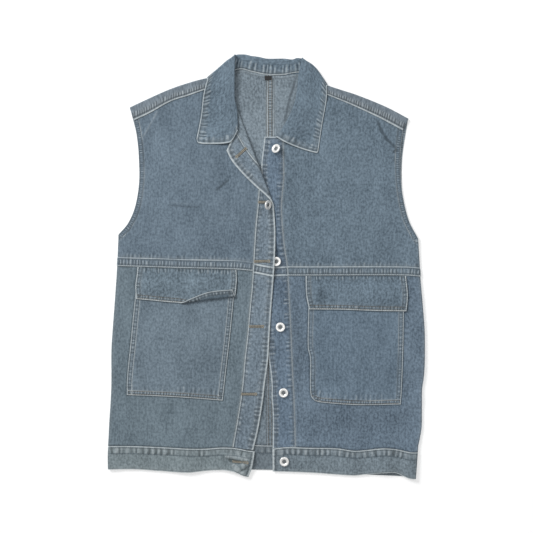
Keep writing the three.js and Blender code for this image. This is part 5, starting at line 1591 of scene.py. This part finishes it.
def thread_bits(starts, ends, ups, width, plump=0.35):
    """Short round bits of thread from starts to ends, each arched a little out of the cloth."""
    along = ends - starts
    length = np.linalg.norm(along, axis=-1, keepdims=True)
    ahead = along / np.maximum(length, 1e-9)
    aside = np.cross(ups, ahead)
    aside /= np.maximum(np.linalg.norm(aside, axis=-1, keepdims=True), 1e-9)
    ring = np.linspace(0, 2 * math.pi, 5, endpoint=False)
    points = [starts[:, None, :]]
    for share, size in ((0.12, 0.75), (0.5, 1.0), (0.88, 0.75)):
        lift = plump * width * math.sin(math.pi * share)
        centre = starts + along * share + ups * lift
        around = aside[:, None] * np.cos(ring)[:, None] + ups[:, None] * np.sin(ring)[:, None] * 0.8
        points.append(centre[:, None] + around * size * width / 2)
    points.append(ends[:, None, :])
    points = np.concatenate(points, 1)
    shape = []
    for k in range(5):
        n = (k + 1) % 5
        shape.append((0, 1 + n, 1 + k, 1 + k))
        for level in (0, 1):
            shape.append((1 + level * 5 + k, 1 + level * 5 + n, 6 + level * 5 + n, 6 + level * 5 + k))
        shape.append((11 + k, 11 + n, 16, 16))
    faces = np.array(shape)[None] + np.arange(len(points))[:, None, None] * points.shape[1]
    return points.reshape(-1, 3), faces.reshape(-1, 4)


def thread_object(name, batches, material):
    points, faces, first = [], [], 0
    for some_points, some_faces in batches:
        points.append(some_points)
        faces.append(some_faces + first)
        first += len(some_points)
    faces = [tuple(f) if f[2] != f[3] else tuple(f[:3]) for f in np.concatenate(faces).tolist()]
    made = mesh_object(name, np.concatenate(points) * MM, faces, [material])
    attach(made, "root")
    return made


def stitch_row(place, lay, half, lift, mark, offset, side):
    """One row of stitches beside a line of a piece, on one side of the cloth."""
    t = np.linspace(0, 1, 500)
    start, end = np.array(mark["start"], float), np.array(mark["end"], float)
    u, v = mix(start[0], end[0], t), mix(start[1], end[1], t)
    across_v = abs(start[1] - end[1]) > abs(start[0] - end[0])
    base = u if across_v else v
    inward = np.where(base > (0 if mark["inner"] else 0.5), -1.0, 1.0)
    nudged = (u + inward * NUDGE, v) if across_v else (u, v + inward * NUDGE)
    x0, y0 = lay(u, v)
    x1, y1 = lay(*nudged)
    t_x, t_y = np.gradient(x0), np.gradient(y0)
    t_length = np.maximum(np.hypot(t_x, t_y), 1e-9)
    square = np.abs((x1 - x0) * t_y - (y1 - y0) * t_x) / t_length / NUDGE
    shift = inward * offset / np.maximum(square, 1e-6)
    if across_v:
        u = u + shift
    else:
        v = v + shift
    middle, normal = surface(place, u, v)
    run = np.concatenate([[0], np.cumsum(np.linalg.norm(np.diff(middle, axis=0), axis=-1))])
    first = np.arange(END_CLEAR, run[-1] - STITCH - 1.5, STITCH + GAP)
    if len(first) == 0:
        return None

    def at(where, values):
        return np.stack([np.interp(where, run, values[:, k]) for k in range(3)], -1)

    up = at(first + STITCH / 2, normal) * side
    lifted = 0 * u if lift is None or side < 0 else lift(u, v) + 0 * u
    raised = up * (half + 0.12 + np.interp(first + STITCH / 2, run, lifted))[:, None]
    return thread_bits(at(first, middle) + raised, at(first + STITCH, middle) + raised, up, THREAD)


def thread_material(name, dark, light):
    material, tree, shader = new_material(name)
    place = tree.nodes.new("ShaderNodeTexCoord").outputs["Object"]
    fibre = grain(tree, place, stretch=(1, 1, 1), scale=700)
    tree.links.new(blend(tree, ramp(tree, fibre, 0.3, 0.7), dark, light), shader.inputs["Base Color"])
    bump = tree.nodes.new("ShaderNodeBump")
    bump.inputs["Distance"].default_value = 0.0002
    twist = grain(tree, place, stretch=(1, 1, 1), scale=2500, detail=2.0)
    tree.links.new(twist, bump.inputs["Height"])
    tree.links.new(bump.outputs["Normal"], shader.inputs["Normal"])
    shader.inputs["Roughness"].default_value = 0.75
    return material


blue_thread = thread_material("thread_blue", tint(86, 104, 120), tint(128, 144, 156))
tan_thread = thread_material("thread_tan", tint(116, 100, 82), tint(152, 134, 108))
rows_of = {"blue": [], "tan": []}


def sew(place, lay, half, lift, mark, sides):
    """All the rows of stitches of one line, on both sides of a line that lies inside its piece."""
    for offset in mark["rows"]:
        for signed in ((offset, -offset) if mark["inner"] else (offset,)):
            for side in sides:
                row = stitch_row(place, lay, half, lift, mark, signed, side)
                if row is not None:
                    rows_of[mark["thread"]].append(row)


for place, lay, half, lift, marks, sides in sewn:
    for mark in marks:
        sew(place, lay, half, lift, mark, sides)
thread_object("stitching_blue", rows_of["blue"], blue_thread)
thread_object("stitching_tan", rows_of["tan"], tan_thread)

# The buttonholes, slits in the right band that are worked round in tan thread, with a round eye
# towards the folded edge. Dark strands paint the shade in the slit and in the sunken lines beside the
# stitches.

# Rows are the middle of the seam end (x, y), the length and the turn in degrees.
BUTTONHOLES = [
    (-14.4, 219.6, 25, 0), (-13.1, 114.9, 25, 0), (-20.9, 8.3, 28, 1), (-29.9, -108.7, 26, 0),
    (-43.4, -230.4, 27, 0), (-59.9, -352.1, 28, -2),
]
# Dark grey thread for the painted shade of the buttonholes.
slit_shade = thread_material("buttonhole_shade", tint(66, 70, 70), tint(84, 88, 88))


def band_surface(x, y):
    return np.stack(lapel_fold(x, y, right_level(DOUBLED)), -1)


def lying(x, y, side, over):
    """Points over the band's surface at flat places x, y, and the way up there."""
    step = 0.02
    across = band_surface(x + step, y) - band_surface(x - step, y)
    along = band_surface(x, y + step) - band_surface(x, y - step)
    normal = np.cross(across, along)
    normal /= np.linalg.norm(normal, axis=-1, keepdims=True)
    normal *= side
    return band_surface(x, y) + normal * (DOUBLED / 2 + over), normal


EYE = 2.1
EYE_GAP = 0.8
EYE_RIM = 3.2
EYE_TURN = 0.86 * math.pi
EYE_STRANDS = 15
BAR_REACH = 2.1
BAR_STRANDS = 6
LEG_PITCH = 0.78
LEG_GAP = 0.12
LEG_REACH = 2.2
# The painted shade strands lie this far to each side of the slit.
SHADE_STRAND_OFFSET = 2.75


def across_hole(length):
    """Where the buttonhole's threads start and end: its two legs, its eye and the bar at its seam end."""
    legs = np.arange(0.6, length - 2 * EYE, LEG_PITCH)
    starts = [np.stack([legs, np.full(len(legs), way * LEG_GAP)], -1) for way in (-1, 1)]
    ends = [np.stack([legs + 0.1, np.full(len(legs), way * LEG_REACH)], -1) for way in (-1, 1)]
    angles = np.linspace(-EYE_TURN, EYE_TURN, EYE_STRANDS)
    circle = np.stack([np.cos(angles), np.sin(angles)], -1)
    starts.append(circle * EYE_GAP + [length - EYE, 0])
    ends.append(circle * EYE_RIM + [length - EYE, 0])
    bar = np.linspace(-BAR_REACH, BAR_REACH, BAR_STRANDS)
    starts.append(np.stack([np.full(BAR_STRANDS, -0.9), bar], -1))
    ends.append(np.stack([np.full(BAR_STRANDS, 0.6), bar], -1))
    return np.concatenate(starts), np.concatenate(ends)


def laid_bits(hole, starts, ends, side, over, width, plump):
    """Bits of thread on the band, given in the buttonhole's own places along and across it."""
    x0, y0, _, turn = hole
    c, s = math.cos(math.radians(turn)), math.sin(math.radians(turn))
    turned = lambda p: (x0 + p[:, 0] * c - p[:, 1] * s, y0 + p[:, 0] * s + p[:, 1] * c)
    start_points, ups = lying(*turned(starts), side, over)
    end_points, _ = lying(*turned(ends), side, over)
    return thread_bits(start_points, end_points, ups, width, plump)


worked, shade_strands = [], []
for number, hole in enumerate(BUTTONHOLES):
    side = -1 if number == 0 else 1
    worked.append(laid_bits(hole, *across_hole(hole[2]), side, 0.2, 0.85, 0.5))
    # Strands of painted shade: one in the slit and one in the sunken line at each side.
    slit = np.linspace(0, hole[2] - 2 * EYE, 12)
    for across, width in ((0, 0.5), (-SHADE_STRAND_OFFSET, 0.8), (SHADE_STRAND_OFFSET, 0.8)):
        beside_it = np.full(11, float(across))
        starts, ends = np.stack([slit[:-1], beside_it], -1), np.stack([slit[1:], beside_it], -1)
        shade_strands.append(laid_bits(hole, starts, ends, side, 0.02, width, 0.0))
hole_thread = thread_material("thread_buttonhole", tint(150, 144, 130), tint(180, 173, 157))
thread_object("buttonhole_thread", worked, hole_thread)
thread_object("buttonhole_shade_strands", shade_strands, slit_shade)

# The buttons, six turned nickel rings with a sunken middle on a short shank. The first leans on the
# open band. Only the second is done up, through its buttonhole, and tilts there.
nickel, nickel_tree, nickel_shader = new_material("nickel")
nickel_place = nickel_tree.nodes.new("ShaderNodeTexCoord").outputs["Object"]
turning = grain(nickel_tree, nickel_place, stretch=(1, 1, 1), scale=900, detail=2.0)
nickel_colour = blend(nickel_tree, turning, tint(238, 238, 236), tint(250, 250, 248))
nickel_tree.links.new(nickel_colour, nickel_shader.inputs["Base Color"])
turned_rough = ramp(nickel_tree, turning, 0.3, 0.7, 0.2, 0.34)
nickel_tree.links.new(turned_rough, nickel_shader.inputs["Roughness"])
nickel_shader.inputs["Metallic"].default_value = 0.35
sunken, sunken_tree, sunken_shader = new_material("button_middle")
sunken_place = sunken_tree.nodes.new("ShaderNodeTexCoord").outputs["Object"]
dull = grain(sunken_tree, sunken_place, stretch=(1, 1, 1), scale=700, detail=2.0)
sunken_tree.links.new(
    blend(sunken_tree, dull, tint(88, 93, 96), tint(122, 127, 129)), sunken_shader.inputs["Base Color"]
)
sunken_shader.inputs["Roughness"].default_value = 0.5
sunken_shader.inputs["Metallic"].default_value = 0.2

# The ring's outline from the middle of its back round to the middle of its front, as (radius, height).
BUTTON_PROFILE = [
    (0, 0), (3, 0), (3, 1), (6.6, 1.0), (7.6, 1.15), (8.2, 1.5), (8.48, 2.0), (8.5, 2.6), (8.45, 3.4),
    (8.2, 3.9), (7.7, 4.14), (6.8, 4.2), (5.9, 4.15), (5.1, 4.0), (4.5, 3.8), (4.0, 3.5), (3.7, 3.1),
    (3.55, 2.65), (2.9, 2.6), (1.7, 2.6), (1.3, 2.8), (0, 2.85),
]
# Rows are (x, y), the tilt and the way that it tilts, in degrees, and what the button stands on.
BUTTONS = [
    (19.1, 210.2, 36, 150, front_floor),
    (1.6, 109.6, 52, -8, right_floor),
    (*THIRD_BUTTON, 0, 0, front_floor),
    (25.9, -110, 0, 0, front_floor),
    (31.5, -228.2, 0, 0, front_floor),
    (32.9, -351.7, 0, 0, front_floor),
]
SIDES = 40
MIDDLE_RING = 16
BUTTON_RADIUS = 8.5
SHANK_RADIUS = 3
STAND_OFF = 0.3


def turned_button(tilt, turn):
    """The points of a button that leans by tilt towards turn, and how far that lifts its foot."""
    around = np.linspace(0, 2 * math.pi, SIDES, endpoint=False)
    cos_sin = np.stack([np.cos(around), np.sin(around)], -1)
    rings = np.array(BUTTON_PROFILE[1:-1])
    flat = np.concatenate([(rings[:, None, :1] * cos_sin[None]).reshape(-1, 2), [[0, 0], [0, 0]]])
    heights = np.concatenate([np.repeat(rings[:, 1], SIDES), [BUTTON_PROFILE[0][1], BUTTON_PROFILE[-1][1]]])
    lean, spin = math.radians(tilt), math.radians(turn)
    tip = np.array([[math.cos(lean), 0, math.sin(lean)], [0, 1, 0], [-math.sin(lean), 0, math.cos(lean)]])
    swing = np.array([[math.cos(spin), -math.sin(spin), 0], [math.sin(spin), math.cos(spin), 0], [0, 0, 1]])
    points = np.concatenate([flat, heights[:, None]], 1) @ tip.T @ swing.T
    lifted = max(SHANK_RADIUS * math.sin(lean), BUTTON_RADIUS * math.sin(lean) - 1.9 * math.cos(lean))
    return points, lifted


def button_faces():
    """Quads between the rings of the outline and a fan at each end, with the material of each face."""
    rings = len(BUTTON_PROFILE) - 2
    last = rings * SIDES
    faces, picks = [], []
    for ring in range(rings - 1):
        for k in range(SIDES):
            a, b = ring * SIDES + k, ring * SIDES + (k + 1) % SIDES
            faces.append((a, b, b + SIDES, a + SIDES))
            picks.append(1 if ring >= MIDDLE_RING else 0)
    for k in range(SIDES):
        after = (k + 1) % SIDES
        faces.append((last, after, k))
        faces.append((last + 1, last - SIDES + k, last - SIDES + after))
        picks.extend([0, 1])
    return faces, picks


for number, (x, y, tilt, turn, floor_at) in enumerate(BUTTONS, 1):
    points, lifted = turned_button(tilt, turn)
    points += [x, y, float(floor_at(x, y)) + DOUBLED + STAND_OFF + lifted]
    faces, picks = button_faces()
    button = mesh_object(f"nickel_button_{number}", points * MM, faces, [nickel, sunken], picks)
    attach(button, "root")
    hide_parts(f"button_{number}")
